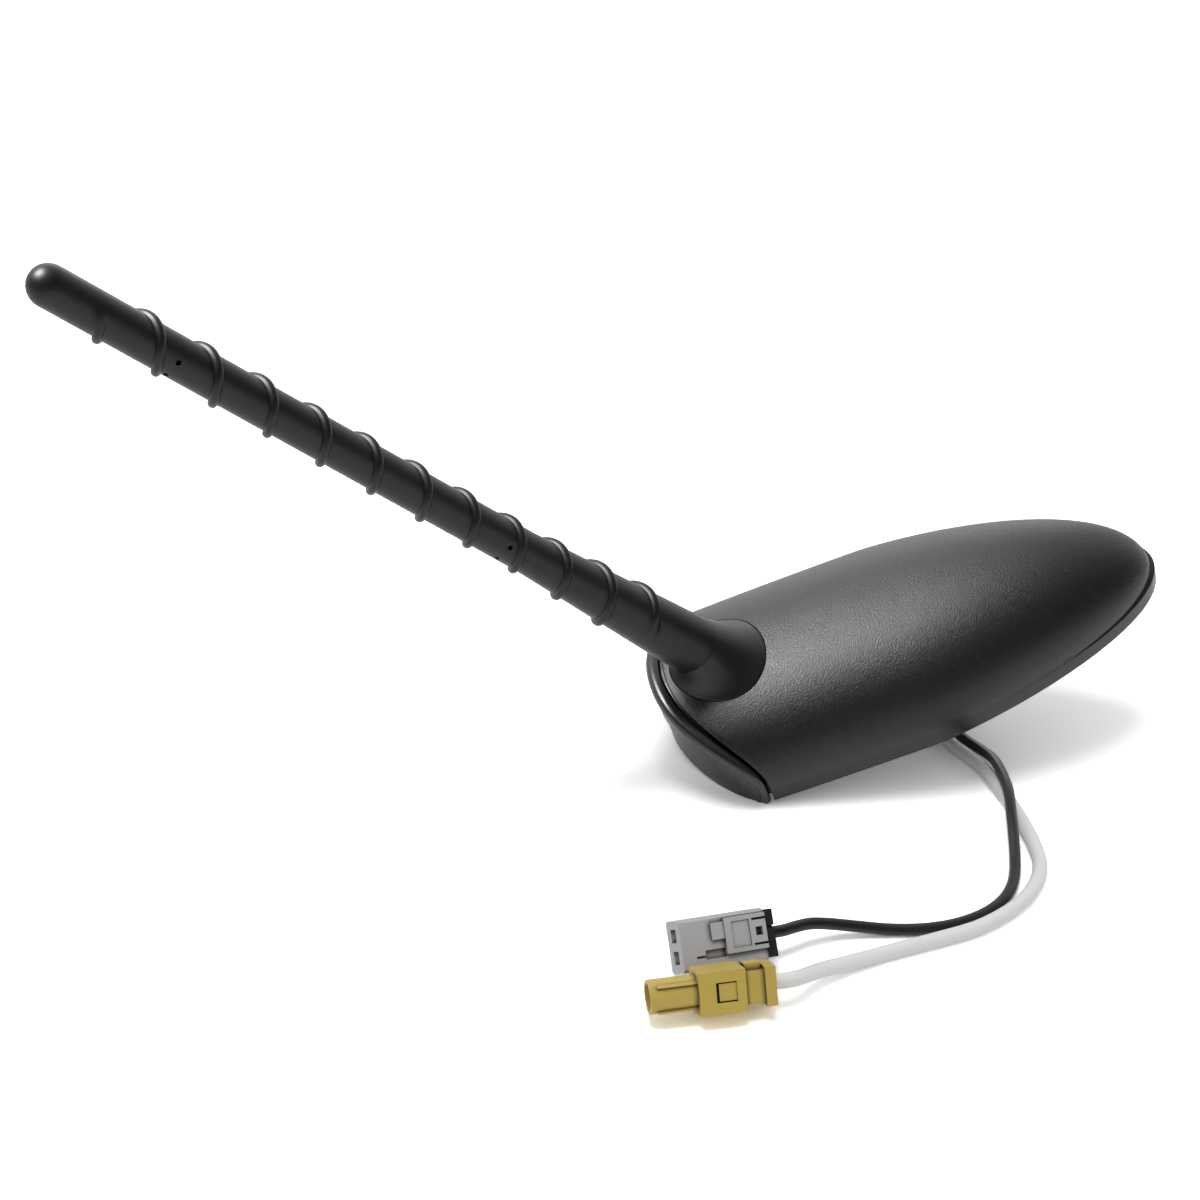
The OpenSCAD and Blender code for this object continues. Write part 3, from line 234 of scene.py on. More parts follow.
# %% Grained finish of the shell
def grained_black(name, dark, light, grain_mm, depth_mm, smooth_below_mm, full_above_mm):
    """Black plastic with a spark-eroded grain that starts between two heights over the roof."""
    made, tree, out, place = new_material(name)
    specks = noise(tree, place, grain_mm, 2.0, 0.65)
    height = add_node(tree, "SeparateXYZ", None, {"Vector": place}).outputs["Z"]
    grained = ranged(tree, height, {"interpolation_type": "SMOOTHSTEP", "From Min": smooth_below_mm * MM,
                                    "From Max": full_above_mm * MM})
    rough = ranged(tree, specks, {"From Min": 0.3, "From Max": 0.7, "To Min": 0.28, "To Max": 0.5})
    gloss = add_node(tree, "Mix", {"data_type": "FLOAT", 2: 0.3}, {0: grained, 3: rough})
    tint = blend(tree, specks, {6: linear(dark), 7: linear(light)})
    give_skin(tree, out, depth_mm, {"Height": specks, "Strength": grained}, {"IOR": 1.53},
              {"Base Color": tint, "Roughness": gloss.outputs[0]})
    return made


grained_shell = grained_black("PC-ABS spark-eroded grain black", "#0C0C0D", "#161617", 0.36, 0.12, 5.0, 9.0)
print("grain of the shell made")

# %% [markdown]
# ## Metals
# A metal shows its process even more than a plastic does: a die casting is dull and pitted, a
# turned part has rings around its axis, rolled and plated sheet is bright with fine scratches.
# The recipe stretches a noise texture along one direction for turning or rolling marks, and
# leaves it round for a casting.

# %% A recipe for metals, and the metals used
patina_mm = 4


def metal(name, colour, roughness, mark_mm, stretch, depth_mm, patina, patina_share):
    """Bare or plated metal. mark_mm is the spacing of its marks, stretch drags them out."""
    made, tree, out, place = new_material(name)
    drag = add_node(tree, "Mapping", {"Scale": stretch}, {"Vector": place})
    marks = noise(tree, drag.outputs["Vector"], mark_mm, 4.0)
    share = add_node(tree, "Math", {"operation": "MULTIPLY", 1: patina_share},
                     {0: noise(tree, place, patina_mm, 3.0)})
    tint = blend(tree, share.outputs["Value"], {6: linear(colour), 7: linear(patina)})
    gloss = ranged(tree, marks, {"To Min": roughness - 0.06, "To Max": roughness + 0.08})
    give_skin(tree, out, depth_mm, {"Height": marks}, {"Metallic": 1.0},
              {"Base Color": tint, "Roughness": gloss})
    return made


zinc_casting = metal("zinc die cast", "#A9ABAE", 0.48, 0.6, (1, 1, 1), 0.02, "#7C7E80", 0.5)
zinc_plate = metal("steel zinc plated bright", "#C3C6C8", 0.3, 0.5, (1, 1, 6), 0.004, "#8F9294", 0.35)
tin_plate = metal("tinplate rolled", "#CFD1D2", 0.28, 0.4, (1, 8, 1), 0.003, "#A7A9AB", 0.3)
turned_brass = metal("brass turned", "#C8A75A", 0.28, 0.35, (1, 1, 6), 0.005, "#8C6F33", 0.4)
spring_bronze = metal("phosphor bronze rolled", "#C08A4E", 0.3, 0.4, (1, 8, 1), 0.003, "#7D5429", 0.35)
gold_plate = metal("brass gold plated", "#E3BC62", 0.22, 0.4, (6, 1, 1), 0.002, "#B98F3E", 0.25)
silver_paste = metal("silver paste fired", "#D6D5CF", 0.42, 0.3, (1, 1, 1), 0.006, "#A8A69C", 0.3)
enamelled_copper = metal("copper wire enamelled", "#B5653A", 0.32, 0.3, (1, 1, 10), 0.02, "#6E3216", 0.4)
print("with the metals:", len(bpy.data.materials) - cad_finishes)

# %% [markdown]
# ## Circuit board and ceramic
# The board is glass cloth in epoxy under a green lacquer. The weave, about 0.5 mm from thread to
# thread, is too fine for a picture of the whole, so it is drawn 3 mm apart as a bump, and copper
# tracks show as a lighter green. The patch is a fired, unglazed ceramic with a chalky surface.

# %% Board and ceramic materials
weave_scale, track_mm = 100, 4


def lacquered_board():
    """Woven glass under green lacquer. The bands of a wave texture lie 2 pi / (20 * scale) apart."""
    made, tree, out, place = new_material("FR4 laminate with green solder resist")
    threads, across = (add_node(tree, "TexWave", {"bands_direction": way, "Scale": weave_scale},
                                {"Vector": place}).outputs["Fac"] for way in "XY")
    weave = add_node(tree, "Math", {"operation": "MULTIPLY"}, {0: threads, 1: across}).outputs["Value"]
    tracks = add_node(tree, "TexBrick",
                      {"Scale": 1 / (track_mm * MM), "Mortar Size": 0.04, "Color1": linear("#0F5A36"),
                       "Color2": linear("#0D5331"), "Mortar": linear("#2E8A5C")}, {"Vector": place})
    give_skin(tree, out, 0.01, {"Height": weave}, {"Roughness": 0.3, "IOR": 1.5},
              {"Base Color": tracks.outputs["Color"]})
    return made


board_lacquer = lacquered_board()
fired_ceramic = moulded("barium titanate ceramic fired", "#CFC2A4", 0.75, 0.15, 0.02, cloud=0.06, ior=1.6)
print("with board and ceramic:", len(bpy.data.materials) - cad_finishes)

# %% [markdown]
# ## From points to pieces
# The skins are grids: rows of points, joined to the next row by four-sided faces. This keeps the
# faces even, which is what makes a highlight run smoothly.

# %% Points and faces
def grid_faces(rows, columns, closed=False, offset=0):
    """Faces of a grid of rows by columns points; closed joins each row's ends."""
    last = columns if closed else columns - 1
    return [(offset + i * columns + j, offset + i * columns + (j + 1) % columns,
             offset + (i + 1) * columns + (j + 1) % columns, offset + (i + 1) * columns + j)
            for i in range(rows - 1) for j in range(last)]


def stacked(slices):
    """Points and faces of a closed body made of rings with equally many points, laid one on another."""
    m, n = len(slices[0]), len(slices)
    points = [p for ring in slices for p in ring]
    return points, grid_faces(n, m, closed=True) + [tuple(range(m)), tuple(range((n - 1) * m, n * m))]


def prism(outline, z0, z1):
    """Points and faces of an upright prism over a closed outline."""
    return stacked([[(x, y, z) for x, y in outline] for z in (z0, z1)])


def circle(radius, count):
    """Points of a circle round the origin."""
    return [(radius * math.cos(2 * math.pi * i / count), radius * math.sin(2 * math.pi * i / count))
            for i in range(count)]


print("a 3 by 4 grid has", len(grid_faces(3, 4)), "faces")

# %% [markdown]
# ## Pieces, tools and cuts
# A piece is a mesh that rides on the object. A tool is a closed mesh that only cuts others, with
# Blender's exact boolean, and is then removed.

# %% Pieces and tools
def make_tool(name, points_mm, faces, weld_mm=0.0):
    """A mesh object from points in millimetres, with its normals pointing out."""
    mesh = bpy.data.meshes.new(name)
    mesh.from_pydata([tuple(c * MM for c in p) for p in points_mm], [], faces)
    work = bmesh.new()
    work.from_mesh(mesh)
    if weld_mm:
        bmesh.ops.remove_doubles(work, verts=work.verts, dist=weld_mm * MM)
        bmesh.ops.dissolve_degenerate(work, dist=weld_mm * MM, edges=work.edges)
    bmesh.ops.recalc_face_normals(work, faces=work.faces)
    work.to_mesh(mesh)
    work.free()
    return new_object(name, mesh)


def make_piece(name, points_mm, faces, materials, weld_mm=0.0):
    """A visible piece of the object, with a smooth skin."""
    piece = make_tool(name, points_mm, faces, weld_mm)
    piece.data.shade_smooth()
    for material in materials:
        piece.data.materials.append(material)
    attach(piece, "root")
    return piece


def sharpen(piece, degrees):
    """Keeps edges sharper than this angle crisp, as a parting line or a cut is."""
    piece.data.set_sharp_from_angle(angle=math.radians(degrees))


def cut(piece, tools):
    """Cuts tools out of a piece, and removes them."""
    for tool in tools:
        step = piece.modifiers.new("cut", "BOOLEAN")
        step.operation, step.object, step.solver = "DIFFERENCE", tool, "EXACT"
    bpy.context.view_layer.update()
    graph = bpy.context.evaluated_depsgraph_get()
    mesh = bpy.data.meshes.new_from_object(piece.evaluated_get(graph))
    piece.modifiers.clear()
    piece.data = mesh
    for tool in tools:
        bpy.data.objects.remove(tool)


print("ready to build")

# %% [markdown]
# ## The leads
# Two leads come out of the rubber grommet in the hollow stud, turn through the slot at its end
# and lie in one wide bow on the bench: a thin black one, which crosses over the thicker white
# one and ends in the grey connector, and the white one, a coaxial lead, which ends in the yellow
# plug. A lead bends in curves of several diameters, so its route is a few given points and
# a smooth line through them.

# %% Routes of the leads on the bench, in millimetres
black_route = [
    (57.6, 24.7, 9.2), (59, 24.4, 5.4), (60.2, 21.8, 2.5), (60.7, 17, 1.5), (61.3, 11, 1.5), (62.9, 6, 1.6),
    (64, 0, 2.4), (63.2, -7, 4), (61, -18.4, 5), (57.9, -28.2, 4.6), (55.2, -36.6, 3.2), (52.8, -43.4, 1.9),
    (49.7, -50, 1.4), (45.2, -55.7, 1.4), (38.8, -60, 1.4), (31.2, -62.2, 1.4), (23.5, -62.3, 1.4),
    (15.5, -60.8, 1.6), (7, -59.4, 3), (-1.5, -59.8, 5.2)]
white_route = [
    (53.8, 24.4, 8.8), (54.6, 23.7, 6.4), (55.4, 22, 4.4), (55.9, 19.7, 3.2), (56.7, 14.6, 1.9),
    (57.2, 8.4, 1.7), (59, 2.5, 1.7), (60.6, -4, 1.7), (61.2, -12, 1.7), (61.3, -20, 1.7),
    (61, -27.5, 1.7), (60.2, -35.7, 1.7), (58.4, -44.5, 1.7), (54.8, -51.5, 1.7), (49, -57.6, 1.7),
    (42, -62.1, 1.7), (34.5, -65.2, 1.7), (26, -66.9, 1.7), (16, -68.5, 1.7), (6, -70.6, 2),
    (-4, -74, 3.6)]
black_r, white_r = 1.3, 1.7
grommet_z = -13.5
black_start, white_start = Vector((1.85, 2.6, grommet_z)), Vector((-1.85, 2.6, grommet_z))
print("points laid by eye:", len(black_route), "and", len(white_route))

# %% [markdown]
# ## Where the plugs lie
# The grey connector and the yellow plug lie on the bench, each rolled on one of its long edges.
# A matrix for each carries points from the plug's own axes, x from the mating face to the rear,
# into the frame of the parts.

# %% Places of the two plugs
def plug_matrix(at_mm, roll, pitch, yaw):
    """A place and a turn on the bench, in the frame of the parts."""
    return bench @ Matrix.Translation(Vector(at_mm) * MM) @ turned(roll, pitch, yaw)


grey = plug_matrix((-33.5, -65.4, 8.2), -36, 4.8, 7.9)
yellow = plug_matrix((-42.5, -77.5, 5.95), -26.1, 0, -1.8)
grey_l, clamp_t, plug_l = 19.6, 2.0, 26.5
print("the grey connector lies at, mm:", [round(c / MM, 1) for c in grey.translation])


# %% The leads as smooth tubes
def smooth_route(points, rounds):
    """Puts a point between each two, on the smooth curve through four, rounds times."""
    for _ in range(rounds):
        out = []
        for i in range(len(points) - 1):
            a, b, c, d = (points[min(len(points) - 1, max(0, k))] for k in range(i - 1, i + 3))
            out += [b, (9 * (b + c) - a - d) / 16]
        points = out + [points[-1]]
    return points


def lead_route(start_mm, straight_mm, route, plug, rear_mm, run_mm):
    """A lead in metres: straight out of the grommet, over the bench, straight into its plug."""
    head = [start_mm * MM, (start_mm - Vector((0, 0, straight_mm))) * MM]
    tail = [plug @ Vector(((rear_mm + run_mm) * MM, 0, 0)), plug @ Vector((rear_mm * MM, 0, 0))]
    return head + [from_bench(p) for p in route] + tail


def tube(name, route, radius_mm, sides, material, node):
    """A round tube along a route in metres, closed at both ends."""
    rings, axis = [], Vector((1, 0, 0.01))
    for i, p in enumerate(route):
        ahead = (route[min(i + 1, len(route) - 1)] - route[max(i - 1, 0)]).normalized()
        axis = (axis - ahead * axis.dot(ahead)).normalized()
        side = ahead.cross(axis)
        rings.append([(p + radius_mm * MM * (axis * c + side * s)) / MM for c, s in circle(1, sides)])
    piece = make_piece(name, *stacked(rings), [material])
    sharpen(piece, 50)
    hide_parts(node)
    return piece


black_line = smooth_route(lead_route(black_start, 1.6, black_route, grey, grey_l + clamp_t, 4), 3)
white_line = smooth_route(lead_route(white_start, 1.4, white_route, yellow, plug_l, 5), 3)
black_tube = tube("black_lead_jacket", black_line, black_r, 24, black_jacket, "black_lead")
white_tube = tube("white_lead_jacket", white_line, white_r, 28, white_jacket, "white_lead")
for colour, line in (("black", black_line), ("white", white_line)):
    print(colour, "lead, mm:", round(sum((b - a).length for a, b in zip(line, line[1:])) / MM, 1))

# %% [markdown]
# ## The form of the base
# Seen from above, the base is widest near the stud and closes to a rounded point at the nose.
# The roof line rises in a low arch from the nose, and each cross-section is an arch a little
# squarer than an ellipse. Three short formulas hold all of it: half the width at a place along
# the base, the height of the roof line there, and the arch between them. The powers say how
# square a curve is.

# %% Formulas of the base
base_w, nose_l, tail_l, tail_depth = 58.2, 61.5, 63.8, 17.8
widest_x, corner_x, crest_x = -5.2, tail_depth - tail_l, -4.0
dome_h, skirt_h, skirt_break = 24.1, 4.6, 0.3
narrows, falls = 0.43, 0.6
plan_power, roof_power, arch_power, edge_power, tail_power = 1.43, 2.53, 2.16, 2.2, 1.5
nose_ledge, side_ledge, cover_t = 1.1, 0.02, 2.2
edge_l, edge_depth, edge_gap, bead_out, joint = 60.4, 14.8, 0.7, 1.5, 1.4
foot_back, mast_angle, seam_s = 34.0, 60.1, 35.3


def half_width(x, inset=0.0, nose_inset=0.0):
    """Half the width of the base at x, made smaller by an inset all round and one at the nose."""
    if x < widest_x:
        return base_w / 2 - inset - narrows * ((widest_x - x) / (widest_x - corner_x)) ** 2
    share = (x - widest_x) / (nose_l - widest_x - inset - nose_inset)
    return (base_w / 2 - inset) * math.sqrt(max(0.0, 1 - share ** plan_power))


def roof_line(x, inset=0.0, nose_inset=0.0):
    """The height of the crest at x, with the same two insets."""
    if x < crest_x:
        return dome_h - inset - falls * ((crest_x - x) / (crest_x - corner_x)) ** 2
    share = (x - crest_x) / (nose_l - crest_x - inset - nose_inset)
    return skirt_h + (dome_h - inset - skirt_h) * math.sqrt(max(0.0, 1 - share ** roof_power))


def arch(degrees):
    """Unit cross-section: near side at 0, crest at 90, far side at 180."""
    a, power = math.radians(degrees), 2 / arch_power
    c, s = math.cos(a), math.sin(a)
    return -math.copysign(abs(c) ** power, c), abs(s) ** power


def rear_edge(y):
    """The cover's curved rear edge in plan."""
    return -edge_l + edge_depth * min(1.0, abs(y) / half_width(corner_x)) ** edge_power


print("length of the cover, mm:", round(nose_l + edge_l, 1), " greatest width:", base_w)

# %% [markdown]
# ## The cover
# The shell is one moulding: a smooth vertical skirt, and the grained dome, which stands back
# from it by a narrow ledge at the nose. The grid runs across the arch and along the base, finer
# towards the nose, where the shell turns fastest. The inside is the same form again, one wall
# thickness smaller, and the two are joined along the foot and along the rear edge.

# %% Cover skin
dome_angles = [180 * i / 72 for i in range(73)]
skirt_top = skirt_h - skirt_break
skirt_profile = [(0.0, 0.25), (0.25, 0.0), (skirt_top - 0.15, 0.0), (skirt_top, 0.02)]
tip, edge_round, edge_middle = 0.02, 0.22, 0.06


def cover_ring(x_share, inset, back_mm):
    """One station of the cover from foot to foot; inset moves it inwards."""
    def station(rear, ledge):
        front = nose_l - inset - ledge * nose_ledge - tip
        return rear + back_mm + (front - rear - back_mm) * math.sin(math.pi / 2 * x_share)

    x = station(rear_edge(half_width(corner_x)), 0)
    skirt = [(max(0.0, half_width(x, inset) - back), z) for z, back in skirt_profile]
    dome = []
    for y, z in map(arch, dome_angles):
        over = station(rear_edge(half_width(corner_x) * y), 1)
        wide = half_width(over, inset + side_ledge, nose_ledge - side_ledge)
        dome.append((over, wide * y, skirt_h + (roof_line(over, inset, nose_ledge) - skirt_h) * z))
    return [(x, -w, z) for w, z in skirt] + dome + [(x, w, z) for w, z in skirt[::-1]]


outer = [cover_ring(0, edge_round, 0.0), cover_ring(0, edge_middle, edge_middle)]
outer += [cover_ring(i / 96, 0, edge_round) for i in range(97)]
inner = [cover_ring(i / 60, cover_t, 0.0) for i in range(61)]
columns = len(outer[0])
inner_at, middle = len(outer) * columns, columns // 2
cover_faces = grid_faces(len(outer), columns) + grid_faces(len(inner), columns, offset=inner_at)
cover_faces += [(j, j + 1, inner_at + j + 1, inner_at + j) for j in range(columns - 1)]
for side in (0, columns - 1):
    foot_out = [i * columns + side for i in range(len(outer))]
    foot_in = [inner_at + i * columns + side for i in range(len(inner))]
    cover_faces.append(tuple(foot_out + foot_in[::-1]))
nose_out, nose_in = inner_at - columns, inner_at + (len(inner) - 1) * columns
for nose in (nose_out, nose_in):
    cover_faces += [(nose + j, nose + j + 1, nose + columns - 2 - j, nose + columns - 1 - j)
                    for j in range(middle - 1)]
    cover_faces.append((nose + middle - 1, nose + middle, nose + middle + 1))
cover_faces.append((nose_out, nose_out + columns - 1, nose_in + columns - 1, nose_in))
cover_points = [p for ring in outer + inner for p in ring]
cover_skin = make_piece("cover_shell", cover_points, cover_faces, [grained_shell, skirt_satin])
for polygon in cover_skin.data.polygons:
    if polygon.center.z < (skirt_h - 0.05) * MM:
        polygon.material_index = 1
print("cover faces:", len(cover_skin.data.polygons))

# %% [markdown]
# ## The opening for the mast
# The mast's collar passes through an oval opening, whose walls run along the mast's axis, so the
# cut is an oval prism along that axis.

# %% Cut the oval opening
lean = math.radians(mast_angle - 90)
oval_at, oval_u, oval_v = 0.35, 10.65, 12.8


def mast_point(u, v, s):
    """A point given across the mast (u to the nose, v to the left) and along it, s, from the roof plane."""
    return (-foot_back + u * math.cos(lean) + s * math.sin(lean), v, -u * math.sin(lean) + s * math.cos(lean))


def oval(growth, count):
    """The opening seen along the mast, grown by so much on all sides."""
    return [(oval_at + (oval_u + growth) * c, (oval_v + growth) * s) for c, s in circle(1, count)]


def oval_tool(growth, s0, s1, count=144):
    """A prism along the mast over that oval."""
    flat, faces = prism(oval(growth, count), s0, s1)
    return make_tool("oval_tool", [mast_point(*p) for p in flat], faces)


cut(cover_skin, [oval_tool(0, 12, 50)])
sharpen(cover_skin, 32)
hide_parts("cover")
print("cover with its opening:", len(cover_skin.data.polygons), "faces")

# %% [markdown]
# ## The tail
# Behind the cover the lower part shows itself. The tail is a stack of slices, each running from
# under the cover's edge round the rear. A second, slightly smaller stack is the lip: it reaches
# forward under the cover, so that nobody looks through the open joint into the shell.

# %% Slices of the tail
bead_z, tail_count, tail_cap, hidden = 13.5, 96, 0.3, 3
sunk_from, sunk_over, lip_inset, lip_behind, collar_room = 6, 4, 1.6, 0.1, 0.25


def tail_curve(half_y, depth, x0, count):
    """The rounded tail in plan, from the left side round to the right."""
    power, points = 2 / tail_power, []
    for i in range(count + 1):
        a = math.radians(90 - 180 * i / count)
        s, c = math.sin(a), math.cos(a)
        points.append((x0 - depth * abs(c) ** power, math.copysign(abs(s) ** power, s) * half_y))
    return points


def tail_slice(z, share_y, inset, beyond):
    """The tail at one height: straight from under the cover, then round the rear."""
    top = roof_line(-edge_l, inset) + tail_cap
    bulge = 1.0 if z <= bead_z else math.sqrt(max(0.0, 1 - ((z - bead_z) / (top - bead_z)) ** 2))
    y = half_width(corner_x, inset) * share_y
    start = rear_edge(y + inset) - edge_gap
    back = -(edge_l + edge_gap + (tail_l + beyond - inset - edge_l - edge_gap) * bulge)
    straight = [(corner_x + hidden, -y, z), (corner_x + hidden, y, z)]
    return straight + [(px, py, z) for px, py in tail_curve(y, start - back, start, tail_count)]


levels = [(z, 1.0) for z in (0.0, 1.2, 2.4, 3.6, skirt_h)]
for y, z in (arch(86 * i / 48) for i in range(1, 49)):
    levels.append((skirt_h + (roof_line(-edge_l) - skirt_h) * z, -y))
sunk = [min(1.0, max(0.0, (z - sunk_from) / sunk_over)) for z, y in levels]
tail_slices = [tail_slice(z, y, inset, bead_out) for (z, y), inset in zip(levels, sunk)]
tray_skin = make_piece("tail_tray", *stacked(tail_slices), [tail_satin])
lip_slices = [tail_slice(z, y, lip_inset, 0) for z, y in levels]
tray_lip = make_piece("tail_lip", *stacked(lip_slices), [tail_satin])
print("slices of the tail:", len(levels))

# %% [markdown]
# ## The joint and the rear wall
# A groove tool clears all that lies in front of the joint behind the cover's rear edge. A recess
# tool cuts the plain rear wall back to the tail's own curve, so the edge over it stays crisp.

# %% Joint and recess
recess_w, recess_h, recess_power = 27.2, 10.6, 8


def base_outline(inset):
    """The whole base in plan, drawn in by an inset."""
    front = nose_l - inset - tip
    xs = [corner_x + (front - corner_x) * math.sin(math.pi / 2 * i / 60) for i in range(61)]
    right = [(x, -half_width(x, inset)) for x in xs]
    left = [(x, half_width(x, inset)) for x in reversed(xs)]
    rear = tail_curve(half_width(corner_x, inset), tail_depth - inset, corner_x, 60)
    return right + left + rear[1:-1]


def recess_outline(count=64):
    """The recess seen from behind, as y and z: flat at the top, with rounded ends."""
    ys = [-recess_w * math.cos(math.pi * i / count) for i in range(count + 1)]
    tops = [(y, recess_h * math.sqrt(max(0.0, 1 - (abs(y) / recess_w) ** recess_power))) for y in ys]
    return [(-recess_w, -1)] + tops + [(recess_w, -1)]


def recess_tool():
    """The space behind the plain rear wall: everything outside the tail's own curve, below the bead."""
    half = half_width(corner_x)
    inside = [(corner_x + 30, half + 9), (corner_x, half + 9)]
    inside += tail_curve(half, tail_depth, corner_x, tail_count)
    inside += [(corner_x, -half - 9), (corner_x + 30, -half - 9)]
    ends = [[(x, y, z) for y, z in recess_outline()] for x in (corner_x - 1, -tail_l - 9)]
    tool = make_tool("recess_tool", *stacked(ends))
    cut(tool, [make_tool("keep_tool", *prism(inside, -5, 20))])
    return tool


def groove_tool(behind):
    """Everything in front of a line that runs this far behind the cover's rear edge."""
    wide = half_width(corner_x) + 5
    ys = [wide * (i / 60 - 1) for i in range(121)]
    line = [(rear_edge(y) - behind, y) for y in ys]
    return make_tool("groove_tool", *prism(line + [(20, wide), (20, -wide)], -5, 40))


for piece, behind, more in ((tray_skin, joint, [recess_tool()]), (tray_lip, lip_behind, [])):
    cut(piece, [groove_tool(behind)])
    cut(piece, more + [oval_tool(collar_room, 10, 60)])
    sharpen(piece, 28)
print("tail faces:", len(tray_skin.data.polygons))

# %% [markdown]
# ## The bead
# A round bead follows the cover's rear edge behind the joint: a ring of points swept along that
# edge and sunk into the tail, thick over the crest and thinner towards its two feet.

# %% Bead
bead_sides, bead_steps = 24, 120
bead_r, bead_r_more, bead_sunk, bead_proud = 1.1, 0.7, 0.95, 0.23


def edge_point(degrees):
    """A point of the cover's rear edge, by the direction in its cross-section."""
    y, z = arch(degrees)
    x = rear_edge(half_width(corner_x) * y)
    return Vector((x, half_width(x) * y, skirt_h + (roof_line(x) - skirt_h) * z))


def bead_row(degrees):
    """A ring of points round the bead: it lies behind the joint, sunk into the tail."""
    at = edge_point(degrees)
    along = (edge_point(min(180, degrees + 0.5)) - edge_point(max(0, degrees - 0.5))).normalized()
    out = Vector((0, along.z, -along.y)).normalized()
    out = out if out.dot(at - Vector((at.x, 0, skirt_h - 1))) > 0 else -out
    rear = along.cross(out).normalized()
    rear = rear if rear.x < 0 else -rear
    rise = math.sin(math.radians(degrees))
    r = bead_r + bead_r_more * rise
    centre = at + rear * (edge_gap + r) - out * ((bead_sunk - bead_proud * rise) * r)
    return [centre + r * (out * c + rear * s) for c, s in circle(1, bead_sides)]


def lowered(row, shares):
    """The same ring at these shares of its height over the roof."""
    return [[(x, y, z * share) for x, y, z in row] for share in shares]


bead_rows = [bead_row(180 * i / bead_steps) for i in range(bead_steps + 1)]
bead_rows = lowered(bead_rows[0], (0.03, 0.3, 0.6)) + bead_rows + lowered(bead_rows[-1], (0.6, 0.3, 0.03))
bead_skin = make_piece("tail_bead", *stacked(bead_rows), [tail_satin])
cut(bead_skin, [oval_tool(collar_room, 10, 60)])
sharpen(bead_skin, 50)
print("bead faces:", len(bead_skin.data.polygons))

# %% [markdown]
# ## The tray's floor
# Seen from below, a plain floor with the stud's hole closes the shell; the rubber seal lies in a
# shallow recess of it.

# %% Tray floor
seal_t, floor_t, seal_inset, fit, stud_hole_r = 1.8, 2.4, 3.2, 0.2, 8.2
floor_body = prism(base_outline(cover_t + 2 * fit), 0.0, seal_t + floor_t)
tray_floor = make_piece("tray_floor", *floor_body, [tail_satin])
cut(tray_floor, [make_tool("seal_space", *prism(base_outline(seal_inset - fit), -1, seal_t)),
                 make_tool("stud_hole", *prism(circle(stud_hole_r, 96), -1, 9))])
sharpen(tray_floor, 30)
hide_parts("under_body")
print("floor faces:", len(tray_floor.data.polygons))

# %% [markdown]
# ## The collar
# The collar blends from the oval opening up to the round foot of the mast. Its foot follows the
# dome, so the height where it leaves the dome is found for each direction by halving an interval.
# From there each row moves a share of the way to the circle, and the first two are pinched in a
# little, which draws a fine dark line round the foot.

# %% Collar skin
mast_foot_r, around, collar_fit = 7.15, 144, -0.08


def dome_height(x, y):
    """Height of the cover's outside at a place in plan."""
    w = half_width(x, side_ledge, nose_ledge - side_ledge)
    share = max(0.0, 1 - min(1.0, abs(y) / w) ** arch_power) ** (1 / arch_power)
    return skirt_h + (roof_line(x, 0, nose_ledge) - skirt_h) * share


def leaves_dome(u, v):
    """How far along the mast a line parallel to it comes out of the dome."""
    low, high = 10.0, 45.0
    for _ in range(24):
        half_way = (low + high) / 2
        x, y, z = mast_point(u, v, half_way)
        low, high = (low, half_way) if z > dome_height(x, y) else (half_way, high)
    return low


foot_oval, foot_circle = oval(collar_fit, around), circle(mast_foot_r, around)
crease = [leaves_dome(u, v) for u, v in foot_oval]
collar_rows = [[mast_point(u, v, c + sink) for (u, v), c in zip(foot_oval, crease)] for sink in (-4.0, -0.5)]
rises = [(0.0, 0.01), (0.012, 0.003), (0.03, 0.0)] + [(0.03 + 0.955 * i / 30, 0.0) for i in range(1, 31)]
for s, pinch in rises:
    share = 0.62 * s + 0.38 * (1 - (1 - s) ** 3)
    row = []
    for (u, v), (cu, cv), c in zip(foot_oval, foot_circle, crease):
        u, v = u * (1 - share) + cu * share, v * (1 - share) + cv * share
        row.append(mast_point(u * (1 - pinch), v * (1 - pinch), c * (1 - s) + seam_s * s))
    collar_rows.append(row)
for r_less, s_less in ((0.02, 0.26), (0.16, 0.1), (0.5, 0.02), (4.15, 0.02)):
    collar_rows.append([mast_point(u, v, seam_s - s_less) for u, v in circle(mast_foot_r - r_less, around)])
collar_skin = make_piece("mast_collar_skin", *stacked(collar_rows), [collar_satin])
sharpen(collar_skin, 50)
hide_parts("mast_collar")
print("collar leaves the dome between s =", round(min(crease), 1), "and", round(max(crease), 1), "mm")

# %% [markdown]
# ## The mast
# The rib that winds up the mast is there to break up the wind's whistle. Rib and rod are one
# moulding, so their skin is one grid: along the rows it follows the rib, across them it goes from
# the rib's foot over its back to the foot of the next turn, whose points it shares. Past both
# ends the points are held at the seam and at the tip, which closes the grid to a circle there.
# Four small holes are left by the pins that held the core in the middle of the mould.

# %% Mast skin
mast_l, cone_l, rod_foot_r, rod_tip_r, per_turn = 181.5, 55.5, 4.7, 4.375, 60
rib_h, rib_w, rib_pitch, rib_turn, rib_turns, rib_fade = 1.05, 2.4, 13.94, -47.1, 11.125, 100
rib_end, last_turn, rib_power, rib_roundness = mast_l - 9.5, 12, 2.2, 0.65
pin_r, pin_depth, pin_heights, pin_sides = 0.6, 1.2, (62.9, 152.8), (-70.5, -125.5)


def rod_radius(s):
    """Radius of the rod: a cone from the foot, then almost a cylinder up to the tip."""
    if s < cone_l:
        return mast_foot_r + (rod_foot_r - mast_foot_r) * s / cone_l
    return rod_foot_r + (rod_tip_r - rod_foot_r) * min(1.0, (s - cone_l) / (mast_l - cone_l))


